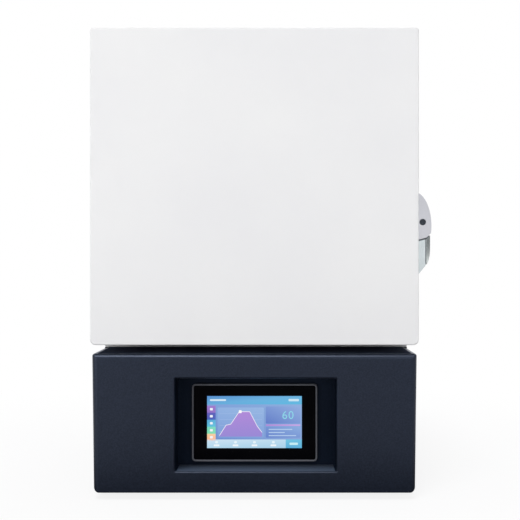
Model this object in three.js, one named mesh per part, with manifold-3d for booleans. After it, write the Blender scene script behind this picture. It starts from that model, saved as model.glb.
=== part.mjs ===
// A bench-top furnace for sintering dental crowns: an insulated housing with a side-hinged door,
// on a base that holds the electrics and the touch panel.
// X runs to the right, Y from the front face backwards and Z up. Lengths are in millimetres.
import * as THREE from 'three';
import { mergeVertices } from 'three/addons/utils/BufferGeometryUtils.js';
import Module from 'manifold-3d';

const wasm = await Module();
wasm.setup();

// Fits and sheet metal
const seat = 0.3;
const overrun = 1;
const sheet = 1.5;
const foldRadius = 1.5;
const frontPlate = 2;

// Heating chamber and the fibre boards round it
const chamberWidth = 140;
const chamberHeight = 140;
const chamberDepth = 150;
const sideBoard = 109;
const floorBoard = 97;
const roofBoard = 66;
const rearBoard = 98.5;
const terminalSpace = 54.4;
const rearSpace = 56;
const hearthThickness = 7.7;
const hearthMargin = 8;
const hearthCorner = 8;

// Door
const doorThickness = 76;
const doorSeam = 5;
const doorOverhang = 1.5;
const doorClearance = 11.4;
const doorCornerRadius = 6;
const plugDepth = 22;
const plugClearance = 4;
const plugTaper = 4;
const plugCorner = 6;
const mouthMargin = 3;
const mouthCorner = 6;
const gasketMargin = 5;
const gasketWidth = 17;
const gasketCorner = 12;

// Hinges
const hingeHeight = 62;
const hingeInset = 62;
const hingeLeafWidth = 38;
const hingeLeaf = 2.5;
const knuckleRadius = 5;
const hingePinRadius = 2.5;
const hingePinHead = 3.8;
const hingePinHeadHeight = 1.6;

// Latch, measured from the door's side wall and from its pin
const latchHeightShare = 0.392;
const latchWidth = 36;
const latchInset = 6;
const latchReach = 19.7;
const latchPinReach = 9.8;
const latchPinRadius = 3.4;
const latchDomeHeight = 39;
const latchDomeDrop = 4.4;
const cheekThickness = 3.5;
const cheekWallDrop = 21.9;
const cheekBendReach = 4.4;
const cheekBendDrop = 17.6;
const cheekEndDrop = 12.2;
const latchBasePlate = 2;
const leverGap = 1.8;
const leverSetIn = 0.8;
const leverLength = 60.5;
const leverTipRise = 14.4;
const leverTipReach = 4.3;
const leverStrip = 4.7;
const leverGroove = 1.1;
const leverGrooveDepth = 3;
const leverTipBlend = 5.2;
const leverHubRadius = 6.9;
const hookTongue = 3.5;
const hookLength = 4.5;
const hookTop = 22.3;
const hookHeight = 12;
const keeperFlange = 3.5;
const keeperPlate = 2.5;
const keeperPlateLength = 27;
const keeperPlateHeight = 38;
const keeperSetback = 4;

// Heating elements, their bricks and straps
const elementWallDistance = 12;
const elementDepthShares = [0.2, 0.7];
const elementHotRadius = 2;
const elementColdRadius = 4.5;
const elementLegSpacing = 25;
const elementColdDrop = 10;
const elementCone = 8;
const elementFloorDistance = 12;
const elementCollar = 6;
const elementCollarRadius = 7;
const brickWidth = 20;
const brickLengthShare = 0.7;
const brickFlange = 3;
const brickFlangeHeight = 8;
const strapThickness = 5;
const strapWidth = 9;
const strapEyeRadius = 8.5;
const strapRise = 4;
const elementTip = 4;

// Thermocouple
const sheathRadius = 3;
const sheathTipShare = 0.7;
const sheathReach = 15;
const sheathRise = 18;
const thermocoupleHeadRadius = 14;
const thermocoupleHeadLength = 22;
const thermocoupleNeck = 8;

// Base
const footHeight = 8;
const baseTaper = 1.9;
const baseWall = 2;
const baseEdgeRadius = 4;
const baseUpperCornerShare = 1.25;
const baseLowerCornerShare = 1.5;
const baseFlange = 9;
const breakSpace = 2.6;
const rearCoverDepth = 38;
const rearInset = 16;
const rearPanel = 2;
const trayThickness = 2;
const trayLip = 12;

// Touch panel and its recess in the base
const screenWidth = 109;
const screenHeight = 60;
const glassBorder = 14.5;
const glassBorderHigh = 11.5;
const bezelRim = 2;
const bezelStand = 6;
const bezelCorner = 4.4;
const glassThickness = 2.4;
const glassSink = 0.4;
const recessSideMargin = 19.3;
const recessEndMargin = 9.9;
const recessDepth = 35;
const recessCorner = 3;
const recessSill = 21;
const recessHead = 24.2;
const panelDrop = 1.9;
const panelCaseMargin = 7;
const panelCaseDepth = 28;

// Feet
const footRadius = 12;
const footTopRadius = 10;
const footChamfer = 1.2;
const footInsetSide = 45;
const footInsetEnd = 50;
const footScrewRadius = 3;
const footScrewDepth = 4;

// Electrics in the base
const sideMargin = 14;
const transformerRadius = 75;
const transformerBore = 22;
const transformerHeight = 66;
const transformerRounding = 12;
const roundingSteps = 2;
const transformerRearMargin = 100;
const sinkWidth = 100;
const sinkLength = 120;
const sinkBase = 8;
const sinkFin = 2.4;
const sinkFinHeight = 42;
const sinkFins = 11;
const sinkFrontMargin = 155;
const controllerWidth = 60;
const controllerLength = 90;
const controllerHeight = 28;
const boardWidth = 90;
const boardLength = 76;
const boardThickness = 1.6;
const boardStandoff = 10;
const boardStandoffRadius = 3;
const boardFrontMargin = 72;
const relayWidthShares = [[0.14, 0.32], [0.38, 0.56], [0.62, 0.8]];
const relayDepthShare = [0.55, 0.8];
const terminalWidthShare = [0.15, 0.85];
const terminalDepthShare = [0.04, 0.15];
const capacitorShare = [0.25, 0.34];

// Fan
const fanSize = 80;
const fanDepth = 25;
const fanBore = 38;
const fanCorner = 4;
const fanSideMargin = 32;
const fanTip = 36.6;
const fanHub = 18;
const fanHubWall = 1.5;
const fanHubDepth = 17;
const fanBlades = 7;
const fanChord = 18;
const fanBladeThickness = 1.6;
const fanRootPitch = 40;
const fanTipPitch = 24;
const fanShaft = 1.6;
const fanBoss = 5;
const fanStrut = 4;
const fanMotorPlate = 3;
const fanScrewRadius = 2.1;
const fanScrewInset = 4.3;
const guardWire = 1.1;
const guardRings = 3;

// Breaker and mains inlet
const breakerWidth = 40;
const breakerHeight = 62;
const breakerDepth = 55;
const breakerNoseWidth = 32;
const breakerNoseHeight = 44;
const breakerNoseReach = 4;
const breakerSideMargin = 36;
const toggleRadius = 7;
const toggleWidth = 19;
const toggleSink = 2;
const toggleReach = 13;
const toggleThickness = 5;
const toggleThrow = 80;
const toggleTipShare = 0.6;
const inletFlangeWidth = 58;
const inletFlangeHeight = 32;
const inletFlange = 3;
const inletBodyWidth = 38;
const inletBodyHeight = 27;
const inletBodyDepth = 26;
const inletWall = 3;
const inletSocketDepth = 20;
const inletBladeWidth = 2;
const inletBladeHeight = 7;
const inletBladeLength = 15;
const inletBladePitch = 8;
const inletGap = 20;

// Rear covers, vents, sensor and magnet
const rearCoverWidth = 190;
const rearCoverHeight = 252;
const rearCoverLift = 42;
const rearCoverCorner = 4;
const ventWidth = 5;
const ventPitch = 12;
const roofVents = 9;
const roofVentLength = 70;
const trayVents = 7;
const rearVents = 8;
const rearVentLength = 62;
const panelVents = 7;
const panelVentLength = 34;
const panelVentPitch = 10;
const sensorWidth = 30;
const sensorHeight = 13;
const sensorDepth = 12;
const sensorSideShare = 0.72;
const magnetThickness = 3;

// Edges that follow from the sizes above
const housingWidth = chamberWidth + 2 * (sideBoard + sheet);
const housingHalf = housingWidth / 2;
const housingFront = doorThickness + doorSeam;
const boardsFront = housingFront + frontPlate + seat;
const plugEnd = housingFront + plugDepth;
const chamberRear = plugEnd + chamberDepth;
const boardsRear = chamberRear + rearBoard;
const housingRear = boardsRear + rearSpace + sheet;
const baseDepth = housingRear + rearCoverDepth;
const chamberHalf = chamberWidth / 2;

const bezelWidth = screenWidth + 2 * (glassBorder + bezelRim);
const bezelHeight = screenHeight + 2 * (glassBorderHigh + bezelRim);
const recessWidth = bezelWidth + 2 * recessSideMargin;
const recessHeight = bezelHeight + 2 * recessEndMargin;
const baseHeight = recessSill + recessHeight + recessHead;
const baseTop = footHeight + baseHeight;
const recessBottom = footHeight + recessSill;
const baseInnerHalf = housingHalf - baseTaper - baseWall;
const trayTop = footHeight + baseWall + seat + trayThickness;
const panelFront = baseDepth - rearInset - rearPanel;
const panelRear = baseDepth - rearInset;
const rearCentre = (trayTop + baseTop - baseWall) / 2;
const footX = housingHalf - baseTaper - footInsetSide;
const footY = [footInsetEnd, baseDepth - footInsetEnd];

const housingBottom = baseTop + breakSpace;
const chamberFloor = housingBottom + sheet + floorBoard;
const chamberRoof = chamberFloor + chamberHeight;
const roofTop = chamberRoof + roofBoard;
const housingTop = roofTop + terminalSpace + sheet;
const chamberCentre = (chamberFloor + chamberRoof) / 2;

const doorHalf = housingHalf + doorOverhang;
const doorBottom = baseTop + doorClearance;
const doorTop = housingTop;
const hingeAxisX = -(doorHalf + 2 * seat + knuckleRadius);
const hingeAxisY = doorThickness + doorSeam / 2;
const latchPinX = doorHalf + latchPinReach;
const latchPinZ = doorBottom + latchHeightShare * (doorTop - doorBottom);

// Surface finishes
const finishes = {
  whitePowderCoat: { color: 0xebecee, roughness: 0.5, metalness: 0 },
  darkPowderCoat: { color: 0x2d3139, roughness: 0.75, metalness: 0 },
  blackPlastic: { color: 0x17181a, roughness: 0.45, metalness: 0 },
  blackGlass: { color: 0x06070a, roughness: 0.08, metalness: 0 },
  greyPlastic: { color: 0x5a5d62, roughness: 0.6, metalness: 0 },
  chrome: { color: 0xc9ccd1, roughness: 0.12, metalness: 1 },
  steel: { color: 0xa9abae, roughness: 0.4, metalness: 1 },
  aluminium: { color: 0xb9bcc0, roughness: 0.35, metalness: 1 },
  rubber: { color: 0x1b1b1c, roughness: 0.9, metalness: 0 },
  fibre: { color: 0xf1efe8, roughness: 0.95, metalness: 0 },
  alumina: { color: 0xeae4d6, roughness: 0.7, metalness: 0 },
  silicide: { color: 0x4b4a4c, roughness: 0.5, metalness: 0.3 },
  circuitBoard: { color: 0x1f5b3a, roughness: 0.5, metalness: 0 },
  copperWinding: { color: 0xa25a2c, roughness: 0.45, metalness: 0.6 },
};

// Spans: [low, high] pairs along one direction
const centred = (middle, width) => [middle - width / 2, middle + width / 2];
const grown = (span, by) => [span[0] - by, span[1] + by];
const shrunk = (span, by) => [span[0] + by, span[1] - by];

// A closed geometry as a solid that can be joined and cut
function solid(geometry) {
  const bare = geometry.clone();
  bare.deleteAttribute('normal');
  bare.deleteAttribute('uv');
  const merged = mergeVertices(bare);
  const corners = [];
  const index = merged.index.array;
  for (let i = 0; i < index.length; i += 3) {
    const [a, b, c] = index.subarray(i, i + 3);
    if (a !== b && b !== c && c !== a) corners.push(a, b, c);
  }
  return new wasm.Manifold(new wasm.Mesh({
    numProp: 3,
    vertProperties: merged.attributes.position.array,
    triVerts: Uint32Array.from(corners),
  }));
}

// A solid back to a geometry for its mesh
function geometryOf(body) {
  const { vertProperties, triVerts } = body.getMesh();
  const geometry = new THREE.BufferGeometry();
  geometry.setAttribute('position', new THREE.BufferAttribute(vertProperties, 3));
  geometry.setIndex(new THREE.BufferAttribute(triVerts, 1));
  geometry.computeVertexNormals();
  return geometry;
}

const joined = (bodies) => bodies.reduce((all, body) => all.add(body));

function block(x, y, z) {
  const geometry = new THREE.BoxGeometry(x[1] - x[0], y[1] - y[0], z[1] - z[0]);
  geometry.translate((x[0] + x[1]) / 2, (y[0] + y[1]) / 2, (z[0] + z[1]) / 2);
  return solid(geometry);
}

// The radius that is left of a corner inside a wall
const innerRadius = (radius, wall) => Math.max(radius - wall, radius / 8);

// A rectangle with its corners rounded: lower radius, then upper radius
function roundedRectangle(across, up, lower, upper = lower) {
  const outline = new THREE.Shape();
  outline.absarc(across[1] - lower, up[0] + lower, lower, -Math.PI / 2, 0);
  outline.absarc(across[1] - upper, up[1] - upper, upper, 0, Math.PI / 2);
  outline.absarc(across[0] + upper, up[1] - upper, upper, Math.PI / 2, Math.PI);
  outline.absarc(across[0] + lower, up[0] + lower, lower, Math.PI, 1.5 * Math.PI);
  return outline;
}

function circle(x, y, radius) {
  const outline = new THREE.Shape();
  outline.absarc(x, y, radius, 0, 2 * Math.PI);
  return outline;
}

function polygon(points) {
  return new THREE.Shape(points.map(([x, y]) => new THREE.Vector2(x, y)));
}

// An outline drawn in the two other directions and extruded along X, Y or Z
function prism(direction, outline, [from, to], { curve = 3, bevel = 0, bevelSteps = 2 } = {}) {
  const geometry = new THREE.ExtrudeGeometry(outline, {
    depth: to - from,
    curveSegments: curve,
    bevelEnabled: bevel > 0,
    bevelThickness: bevel,
    bevelSize: bevel,
    bevelSegments: bevelSteps,
  });
  const turn = new THREE.Matrix4();
  if (direction === 'x') turn.set(0, 0, 1, from, 1, 0, 0, 0, 0, 1, 0, 0, 0, 0, 0, 1);
  if (direction === 'y') turn.set(1, 0, 0, 0, 0, 0, -1, to, 0, 1, 0, 0, 0, 0, 0, 1);
  if (direction === 'z') turn.set(1, 0, 0, 0, 0, 1, 0, 0, 0, 0, 1, from, 0, 0, 0, 1);
  return solid(geometry.applyMatrix4(turn));
}

// A profile of [radius, height] points turned about X, Y or Z through the given centre
function turned(direction, profile, centre, segments = 20) {
  const points = profile.map(([radius, height]) => new THREE.Vector2(radius, height));
  const geometry = new THREE.LatheGeometry(points, segments);
  if (direction === 'x') geometry.rotateZ(-Math.PI / 2);
  if (direction === 'z') geometry.rotateX(Math.PI / 2);
  return solid(geometry.translate(...centre));
}

const rod = (direction, radius, [from, to], centre, segments) => turned(
  direction,
  [[0, from], [radius, from], [radius, to], [0, to]],
  centre,
  segments,
);

// Punched slots in a level plate, repeated backwards
function levelSlots(x, middle, count, z) {
  const first = middle - (count - 1) * ventPitch / 2;
  const slot = (i) => block(x, centred(first + i * ventPitch, ventWidth), z);
  return joined(Array.from({ length: count }, (_, i) => slot(i)));
}

// Punched slots in an upright plate, repeated upwards
function uprightSlots(x, y, middle, count, pitch) {
  const first = middle - (count - 1) * pitch / 2;
  const slot = (i) => block(x, y, centred(first + i * pitch, ventWidth));
  return joined(Array.from({ length: count }, (_, i) => slot(i)));
}

function piece(group, name, body, finish) {
  const mesh = new THREE.Mesh(geometryOf(body), new THREE.MeshStandardMaterial(finishes[finish]));
  mesh.name = name;
  group.add(mesh);
  return mesh;
}

// The base's outline seen from the front, narrower at its foot
function baseOutline(inset) {
  const halfTop = housingHalf - inset;
  const halfFoot = halfTop - baseTaper;
  const upper = innerRadius(baseUpperCornerShare * baseEdgeRadius, inset);
  const lower = innerRadius(baseLowerCornerShare * baseEdgeRadius, inset);
  const up = [footHeight + inset, baseTop - inset];
  const outline = new THREE.Shape();
  outline.absarc(halfFoot - lower, up[0] + lower, lower, -Math.PI / 2, 0);
  outline.absarc(halfTop - upper, up[1] - upper, upper, 0, Math.PI / 2);
  outline.absarc(upper - halfTop, up[1] - upper, upper, Math.PI / 2, Math.PI);
  outline.absarc(lower - halfFoot, up[0] + lower, lower, Math.PI, 1.5 * Math.PI);
  return outline;
}

// One folded casing that carries the touch panel in its recess and is open below and behind
function baseShell() {
  const outside = prism('y', baseOutline(baseEdgeRadius), [baseEdgeRadius, baseDepth + overrun],
    { bevel: baseEdgeRadius });
  const beyond = block(centred(0, 2 * housingWidth), [baseDepth, baseDepth + housingWidth], [0, housingTop]);
  const hollow = prism('y', baseOutline(baseWall), [baseWall, baseDepth + overrun]);
  const recessAcross = centred(0, recessWidth);
  const recessUp = [recessBottom, recessBottom + recessHeight];
  const recessBox = block(
    grown(recessAcross, baseWall),
    [0, recessDepth + baseWall],
    grown(recessUp, baseWall),
  );
  const recess = prism('y', roundedRectangle(recessAcross, recessUp, recessCorner), [-overrun, recessDepth]);
  const caseHole = block(
    grown(panelCase.x, seat),
    [recessDepth - overrun, recessDepth + baseWall + overrun],
    grown(panelCase.z, seat),
  );
  const underside = block(
    centred(0, 2 * (footX - footRadius - baseFlange)),
    shrunk(footY, footRadius + baseFlange),
    [footHeight - overrun, footHeight + baseWall + overrun],
  );
  return outside.subtract(beyond).subtract(hollow.subtract(recessBox))
    .subtract(recess).subtract(caseHole).subtract(underside);
}

// Touch panel: places that its bezel, glass and case share
const panelCentre = recessBottom + recessHeight / 2 - panelDrop;
const panelCase = {
  x: centred(0, bezelWidth - 2 * panelCaseMargin),
  z: centred(panelCentre, bezelHeight - 2 * panelCaseMargin),
};
const bezelFront = recessDepth - bezelStand;

function touchPanelBezel() {
  const across = centred(0, bezelWidth);
  const up = centred(panelCentre, bezelHeight);
  const outside = prism('y', roundedRectangle(shrunk(across, overrun), shrunk(up, overrun), bezelCorner),
    [bezelFront + overrun, recessDepth - seat - overrun], { bevel: overrun });
  const opening = prism('y',
    roundedRectangle(shrunk(across, bezelRim), shrunk(up, bezelRim), innerRadius(bezelCorner, bezelRim)),
    [bezelFront - overrun, recessDepth + overrun]);
  return outside.subtract(opening);
}

function touchPanelGlass() {
  const across = centred(0, bezelWidth - 2 * (bezelRim + seat));
  const up = centred(panelCentre, bezelHeight - 2 * (bezelRim + seat));
  const front = bezelFront + glassSink;
  return prism('y', roundedRectangle(across, up, innerRadius(bezelCorner, bezelRim + seat)),
    [front, front + glassThickness]);
}

function touchPanelCase() {
  const front = bezelFront + glassSink + glassThickness + seat;
  const rear = recessDepth + baseWall + panelCaseDepth;
  const cover = prism('y', roundedRectangle(panelCase.x, panelCase.z, bezelCorner), [front, rear]);
  const plug = block(centred(0, screenHeight / 2), [rear - overrun, rear + bezelStand],
    centred(panelCentre, screenHeight / 4));
  return cover.add(plug);
}

function baseTray() {
  const half = baseInnerHalf - baseLowerCornerShare * baseEdgeRadius;
  const floor = footHeight + baseWall + seat;
  const channel = polygon([
    [-half, floor], [half, floor], [half, floor + trayLip], [half - trayThickness, floor + trayLip],
    [half - trayThickness, trayTop], [trayThickness - half, trayTop],
    [trayThickness - half, floor + trayLip], [-half, floor + trayLip],
  ]);
  const plate = prism('y', channel, [baseWall + seat, panelFront - seat]);
  const vents = levelSlots(centred(0, roofVentLength), (baseWall + panelFront) / 2, trayVents,
    [floor - overrun, trayTop + overrun]);
  return plate.subtract(vents);
}

// Places of the fittings along the rear panel
const fanX = housingHalf - fanSideMargin - fanSize / 2;
const breakerX = -(housingHalf - breakerSideMargin - breakerWidth / 2);
const inletX = breakerX + (breakerWidth + inletFlangeWidth) / 2 + inletGap;
const panelVentsX = (inletX + inletFlangeWidth / 2 + fanX - fanSize / 2) / 2;

function baseRearPanel() {
  const plate = prism('y', baseOutline(baseWall + seat), [panelFront, panelRear]);
  const through = [panelFront - overrun, panelRear + overrun];
  const fanHole = prism('y', circle(fanX, rearCentre, fanBore), through, { curve: 14 });
  const breakerHole = block(
    grown(centred(breakerX, breakerNoseWidth), seat),
    through,
    grown(centred(rearCentre, breakerNoseHeight), seat),
  );
  const inletHole = block(
    grown(centred(inletX, inletBodyWidth), seat),
    through,
    grown(centred(rearCentre, inletBodyHeight), seat),
  );
  const ventsX = centred(panelVentsX, panelVentLength);
  const vents = uprightSlots(ventsX, through, rearCentre, panelVents, panelVentPitch);
  return plate.subtract(fanHole).subtract(breakerHole).subtract(inletHole).subtract(vents);
}

// A turned rubber foot with a countersunk screw seat below, its top on the base
function foot() {
  const top = footHeight - seat;
  return turned('z', [
    [0, footScrewDepth], [footScrewRadius, footScrewDepth], [footScrewRadius, 0],
    [footRadius - footChamfer, 0], [footRadius, footChamfer], [footTopRadius, top], [0, top],
  ], [0, 0, 0], 16);
}

function breakPlate() {
  return block(
    centred(0, housingWidth),
    [housingFront, housingRear],
    [baseTop + seat, housingBottom - seat],
  );
}

function transformer() {
  const r = transformerRounding;
  const quarter = (x, y, from) => Array.from({ length: roundingSteps + 1 }, (_, i) => {
    const angle = THREE.MathUtils.degToRad(from + 90 * i / roundingSteps);
    return [x + r * Math.cos(angle), y + r * Math.sin(angle)];
  });
  const profile = [
    ...quarter(transformerRadius - r, r, -90),
    ...quarter(transformerRadius - r, transformerHeight - r, 0),
    ...quarter(transformerBore + r, transformerHeight - r, 90),
    ...quarter(transformerBore + r, r, 180),
  ];
  const centre = [
    transformerRadius + sideMargin - baseInnerHalf,
    panelFront - transformerRearMargin - transformerRadius,
    trayTop + seat,
  ];
  return turned('z', [...profile, profile[0]], centre, 24);
}

// The heat sink stands on its fins and carries the power controller
const sinkAcross = [baseInnerHalf - sideMargin - sinkWidth, baseInnerHalf - sideMargin];
const sinkAlong = [sinkFrontMargin, sinkFrontMargin + sinkLength];
const sinkTop = trayTop + seat + sinkFinHeight + sinkBase;

function heatSink() {
  const pitch = (sinkWidth - sinkFin) / (sinkFins - 1);
  const foot = trayTop + seat;
  const points = [[sinkAcross[1], sinkTop], [sinkAcross[0], sinkTop]];
  for (let fin = 0; fin < sinkFins; fin++) {
    const left = sinkAcross[0] + fin * pitch;
    if (fin > 0) points.push([left, sinkTop - sinkBase]);
    points.push([left, foot], [left + sinkFin, foot]);
    if (fin < sinkFins - 1) points.push([left + sinkFin, sinkTop - sinkBase]);
  }
  return prism('y', polygon(points), sinkAlong);
}

function powerController() {
  const x = (sinkAcross[0] + sinkAcross[1]) / 2;
  const y = (sinkAlong[0] + sinkAlong[1]) / 2;
  const low = sinkTop + seat;
  const step = controllerHeight / 2;
  const side = polygon([
    [y - controllerLength / 2, low], [y + controllerLength / 2, low],
    [y + controllerLength / 2, low + step], [y + controllerLength / 2 - step, low + step],
    [y + controllerLength / 2 - step, low + controllerHeight],
    [y - controllerLength / 2 + step, low + controllerHeight],
    [y - controllerLength / 2 + step, low + step], [y - controllerLength / 2, low + step],
  ]);
  return prism('x', side, centred(x, controllerWidth));
}

// A circuit board on four standoffs, with its relays, capacitor and terminal strip
function controlBoard() {
  const x = [sideMargin - baseInnerHalf, sideMargin - baseInnerHalf + boardWidth];
  const y = [boardFrontMargin, boardFrontMargin + boardLength];
  const plate = trayTop + seat + boardStandoff;
  const top = plate + boardThickness;
  const parts = [block(x, y, [plate, top])];
  for (const cornerX of shrunk(x, 2 * boardStandoffRadius)) {
    for (const cornerY of shrunk(y, 2 * boardStandoffRadius)) {
      parts.push(rod('z', boardStandoffRadius, [trayTop + seat, plate + boardThickness / 2],
        [cornerX, cornerY, 0], 10));
    }
  }
  const at = (share, span) => span[0] + share * (span[1] - span[0]);
  const within = (shares, span) => shares.map((share) => at(share, span));
  const seated = top - boardThickness / 2;
  for (const shares of relayWidthShares) {
    parts.push(block(within(shares, x), within(relayDepthShare, y), [seated, top + boardStandoff]));
  }
  const strip = [within(terminalWidthShare, x), within(terminalDepthShare, y)];
  parts.push(block(...strip, [seated, top + boardStandoff]));
  parts.push(rod('z', 2 * boardStandoffRadius, [seated, top + 2 * boardStandoff],
    [at(capacitorShare[0], x), at(capacitorShare[1], y), 0], 16));
  return joined(parts);
}

// The fan, about its own centre: X across, Y along its axis, Z up
const fanFront = panelFront - seat - fanDepth;
const motorFace = -fanDepth / 2 + fanMotorPlate;

function fanFrame() {
  const across = centred(0, fanSize);
  const deep = centred(0, fanDepth);
  const through = grown(deep, overrun);
  const square = prism('y', roundedRectangle(across, across, fanCorner), deep);
  const duct = prism('y', circle(0, 0, fanBore), through, { curve: 14 });
  const hole = fanSize / 2 - fanScrewInset;
  const screws = [[-hole, -hole], [hole, -hole], [-hole, hole], [hole, hole]].map(
    ([x, z]) => prism('y', circle(x, z, fanScrewRadius), through, { curve: 2 }),
  );
  const struts = [0, 1, 2, 3].map((quarter) => block(
    centred(0, fanStrut),
    [deep[0], motorFace],
    [fanHub / 2, fanBore + overrun],
  ).rotate([0, 45 + 90 * quarter, 0]));
  const motor = rod('y', fanHub - fanHubWall, [deep[0], motorFace], [0, 0, 0], 20);
  const shaftEnd = motorFace + fanHubDepth - 2 * fanHubWall;
  const shaft = rod('y', fanShaft, [motorFace - overrun, shaftEnd], [0, 0, 0], 10);
  return joined([square.subtract(duct).subtract(joined(screws)), ...struts, motor, shaft]);
}

// A cambered blade, extruded out along its radius and twisted from root to tip
function fanBlade() {
  const half = fanChord / 2;
  const section = new THREE.Shape();
  section.moveTo(-half, 0);
  section.quadraticCurveTo(0, 2 * fanBladeThickness, half, 0);
  section.lineTo(half, fanBladeThickness);
  section.quadraticCurveTo(0, 3 * fanBladeThickness, -half, fanBladeThickness);
  section.closePath();
  const root = fanHub - fanHubWall / 2;
  const geometry = new THREE.ExtrudeGeometry(section, {
    depth: fanBore - root,
    steps: 2,
    curveSegments: 3,
    bevelEnabled: false,
  });
  geometry.translate(0, -fanBladeThickness, root);
  const point = new THREE.Vector3();
  const places = geometry.attributes.position;
  for (let i = 0; i < places.count; i++) {
    point.fromBufferAttribute(places, i);
    const out = (point.z - root) / (fanTip - root);
    const pitch = THREE.MathUtils.degToRad(THREE.MathUtils.lerp(fanRootPitch, fanTipPitch, out));
    point.applyAxisAngle(new THREE.Vector3(0, 0, 1), pitch);
    places.setXYZ(i, point.x, point.y, point.z);
  }
  return solid(geometry);
}

function fanRotor() {
  const back = motorFace + seat;
  const front = back + fanHubDepth;
  const bore = fanShaft + seat;
  const cup = turned('y', [
    [bore, back], [fanBoss, back], [fanBoss, front - fanHubWall], [fanHub - fanHubWall, front - fanHubWall],
    [fanHub - fanHubWall, back], [fanHub, back], [fanHub, front - fanHubWall],
    [fanHub - fanHubWall, front], [0, front], [0, front - fanHubWall], [bore, front - fanHubWall],
    [bore, back],
  ], [0, 0, 0], 20);
  const middle = (back + front) / 2;
  const blades = Array.from({ length: fanBlades }, (_, i) => fanBlade()
    .translate([0, middle, 0])
    .rotate([0, 360 * i / fanBlades, 0]));
  const swept = rod('y', fanTip, [back, front], [0, 0, 0], 28);
  return cup.add(joined(blades).intersect(swept));
}

// A wire guard behind the rear panel: rings joined by four spokes that end in screw eyes
function fanGuard() {
  const low = panelRear + seat;
  const middle = low + guardWire;
  const ring = (radius) => turned('y', [
    [radius, low], [radius + guardWire, middle], [radius, middle + guardWire], [radius - guardWire, middle],
    [radius, low],
  ], [0, 0, 0], 20);
  const rings = Array.from({ length: guardRings }, (_, i) => ring(fanBore * (i + 1) / guardRings));
  const eye = Math.SQRT2 * (fanSize / 2 - fanScrewInset);
  const spokes = [0, 1, 2, 3].map((quarter) => {
    const wire = block(centred(0, 2 * guardWire), [low, low + 2 * guardWire],
      [fanBore / guardRings, eye - fanScrewRadius]);
    const loop = prism('y', circle(0, eye, 2 * fanScrewRadius), [low, low + guardWire], { curve: 4 })
      .subtract(prism('y', circle(0, eye, fanScrewRadius), [low - overrun, middle + overrun], { curve: 2 }));
    return wire.add(loop).rotate([0, 45 + 90 * quarter, 0]);
  });
  return joined([...rings, ...spokes]);
}

// The breaker: its case stands behind the panel and its nose comes through
const noseRear = panelRear + breakerNoseReach;
const toggleY = noseRear - toggleSink;

function breakerCase() {
  const rear = panelFront - seat;
  const body = block(centred(breakerX, breakerWidth), [rear - breakerDepth, rear],
    centred(rearCentre, breakerHeight));
  const nose = block(centred(breakerX, breakerNoseWidth), [rear - overrun, noseRear],
    centred(rearCentre, breakerNoseHeight));
  const pocket = rod('x', toggleRadius + seat, centred(breakerX, toggleWidth + 2 * seat),
    [0, toggleY, rearCentre], 24);
  return body.add(nose).subtract(pocket);
}

function breakerToggle() {
  const barrel = rod('x', toggleRadius, centred(0, toggleWidth), [0, 0, 0], 24);
  const wedge = polygon([
    [0, -toggleThickness / 2], [toggleReach, -toggleThickness / 3],
    [toggleReach, toggleThickness / 3], [0, toggleThickness / 2],
  ]);
  const lever = prism('x', wedge, centred(0, toggleTipShare * toggleWidth)).rotate([-toggleThrow / 2, 0, 0]);
  return barrel.add(lever);
}

// The mains inlet: a flanged socket with three blades
function mainsInlet() {
  const flangeRear = panelRear + seat + inletFlange;
  const flange = prism('y', roundedRectangle(
    centred(inletX, inletFlangeWidth),
    centred(rearCentre, inletFlangeHeight),
    fanCorner,
  ), [panelRear + seat, flangeRear]);
  const bodyX = centred(inletX, inletBodyWidth);
  const bodyZ = centred(rearCentre, inletBodyHeight);
  const body = block(bodyX, [flangeRear - inletBodyDepth, flangeRear - inletFlange / 2], bodyZ);
  const socketFront = flangeRear - inletSocketDepth;
  const socket = prism('y', roundedRectangle(shrunk(bodyX, inletWall), shrunk(bodyZ, inletWall), inletWall),
    [socketFront, flangeRear + overrun], { curve: 3 });
  const bladeRises = [-inletBladeHeight / 2, inletBladeHeight / 2, -inletBladeHeight / 2];
  const blades = bladeRises.map((rise, i) => block(
    centred(inletX + (i - 1) * inletBladePitch, inletBladeWidth),
    [socketFront - overrun, socketFront + inletBladeLength],
    centred(rearCentre + rise, inletBladeHeight),
  ));
  return flange.add(body).subtract(socket).add(joined(blades));
}

// Housing: an open tube of folded sheet with vents over the terminal space
const housingInside = {
  x: shrunk([-housingHalf, housingHalf], sheet),
  z: shrunk([housingBottom, housingTop], sheet),
};

function housingShell() {
  const outside = prism('y',
    roundedRectangle([-housingHalf, housingHalf], [housingBottom, housingTop], foldRadius),
    [housingFront, housingRear], { curve: 3 });
  const inside = block(housingInside.x, [housingFront - overrun, housingRear + overrun], housingInside.z);
  const along = (boardsFront + boardsRear) / 2;
  const through = [housingTop - sheet - overrun, housingTop + overrun];
  const vents = [-1, 1].map((side) => levelSlots(
    centred(side * housingHalf / 2, roofVentLength),
    along,
    roofVents,
    through,
  ));
  return outside.subtract(inside).subtract(joined(vents));
}

function housingFrontPlate() {
  const plate = block(
    shrunk(housingInside.x, seat),
    [housingFront, housingFront + frontPlate],
    shrunk(housingInside.z, seat),
  );
  const mouth = prism('y', roundedRectangle(
    centred(0, chamberWidth + 2 * mouthMargin),
    grown([chamberFloor, chamberRoof], mouthMargin),
    mouthCorner,
  ), [housingFront - overrun, housingFront + frontPlate + overrun]);
  return plate.subtract(mouth);
}

function housingRearPanel() {
  const plate = block(
    shrunk(housingInside.x, seat),
    [housingRear - sheet, housingRear],
    shrunk(housingInside.z, seat),
  );
  const neck = rod('y', thermocoupleNeck + seat,
    [housingRear - sheet - overrun, housingRear + overrun], [0, 0, thermocoupleZ], 16);
  return plate.subtract(neck);
}

// Fibre boards, from the front plate to the rear space
const boardAlong = [boardsFront, boardsRear];

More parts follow.
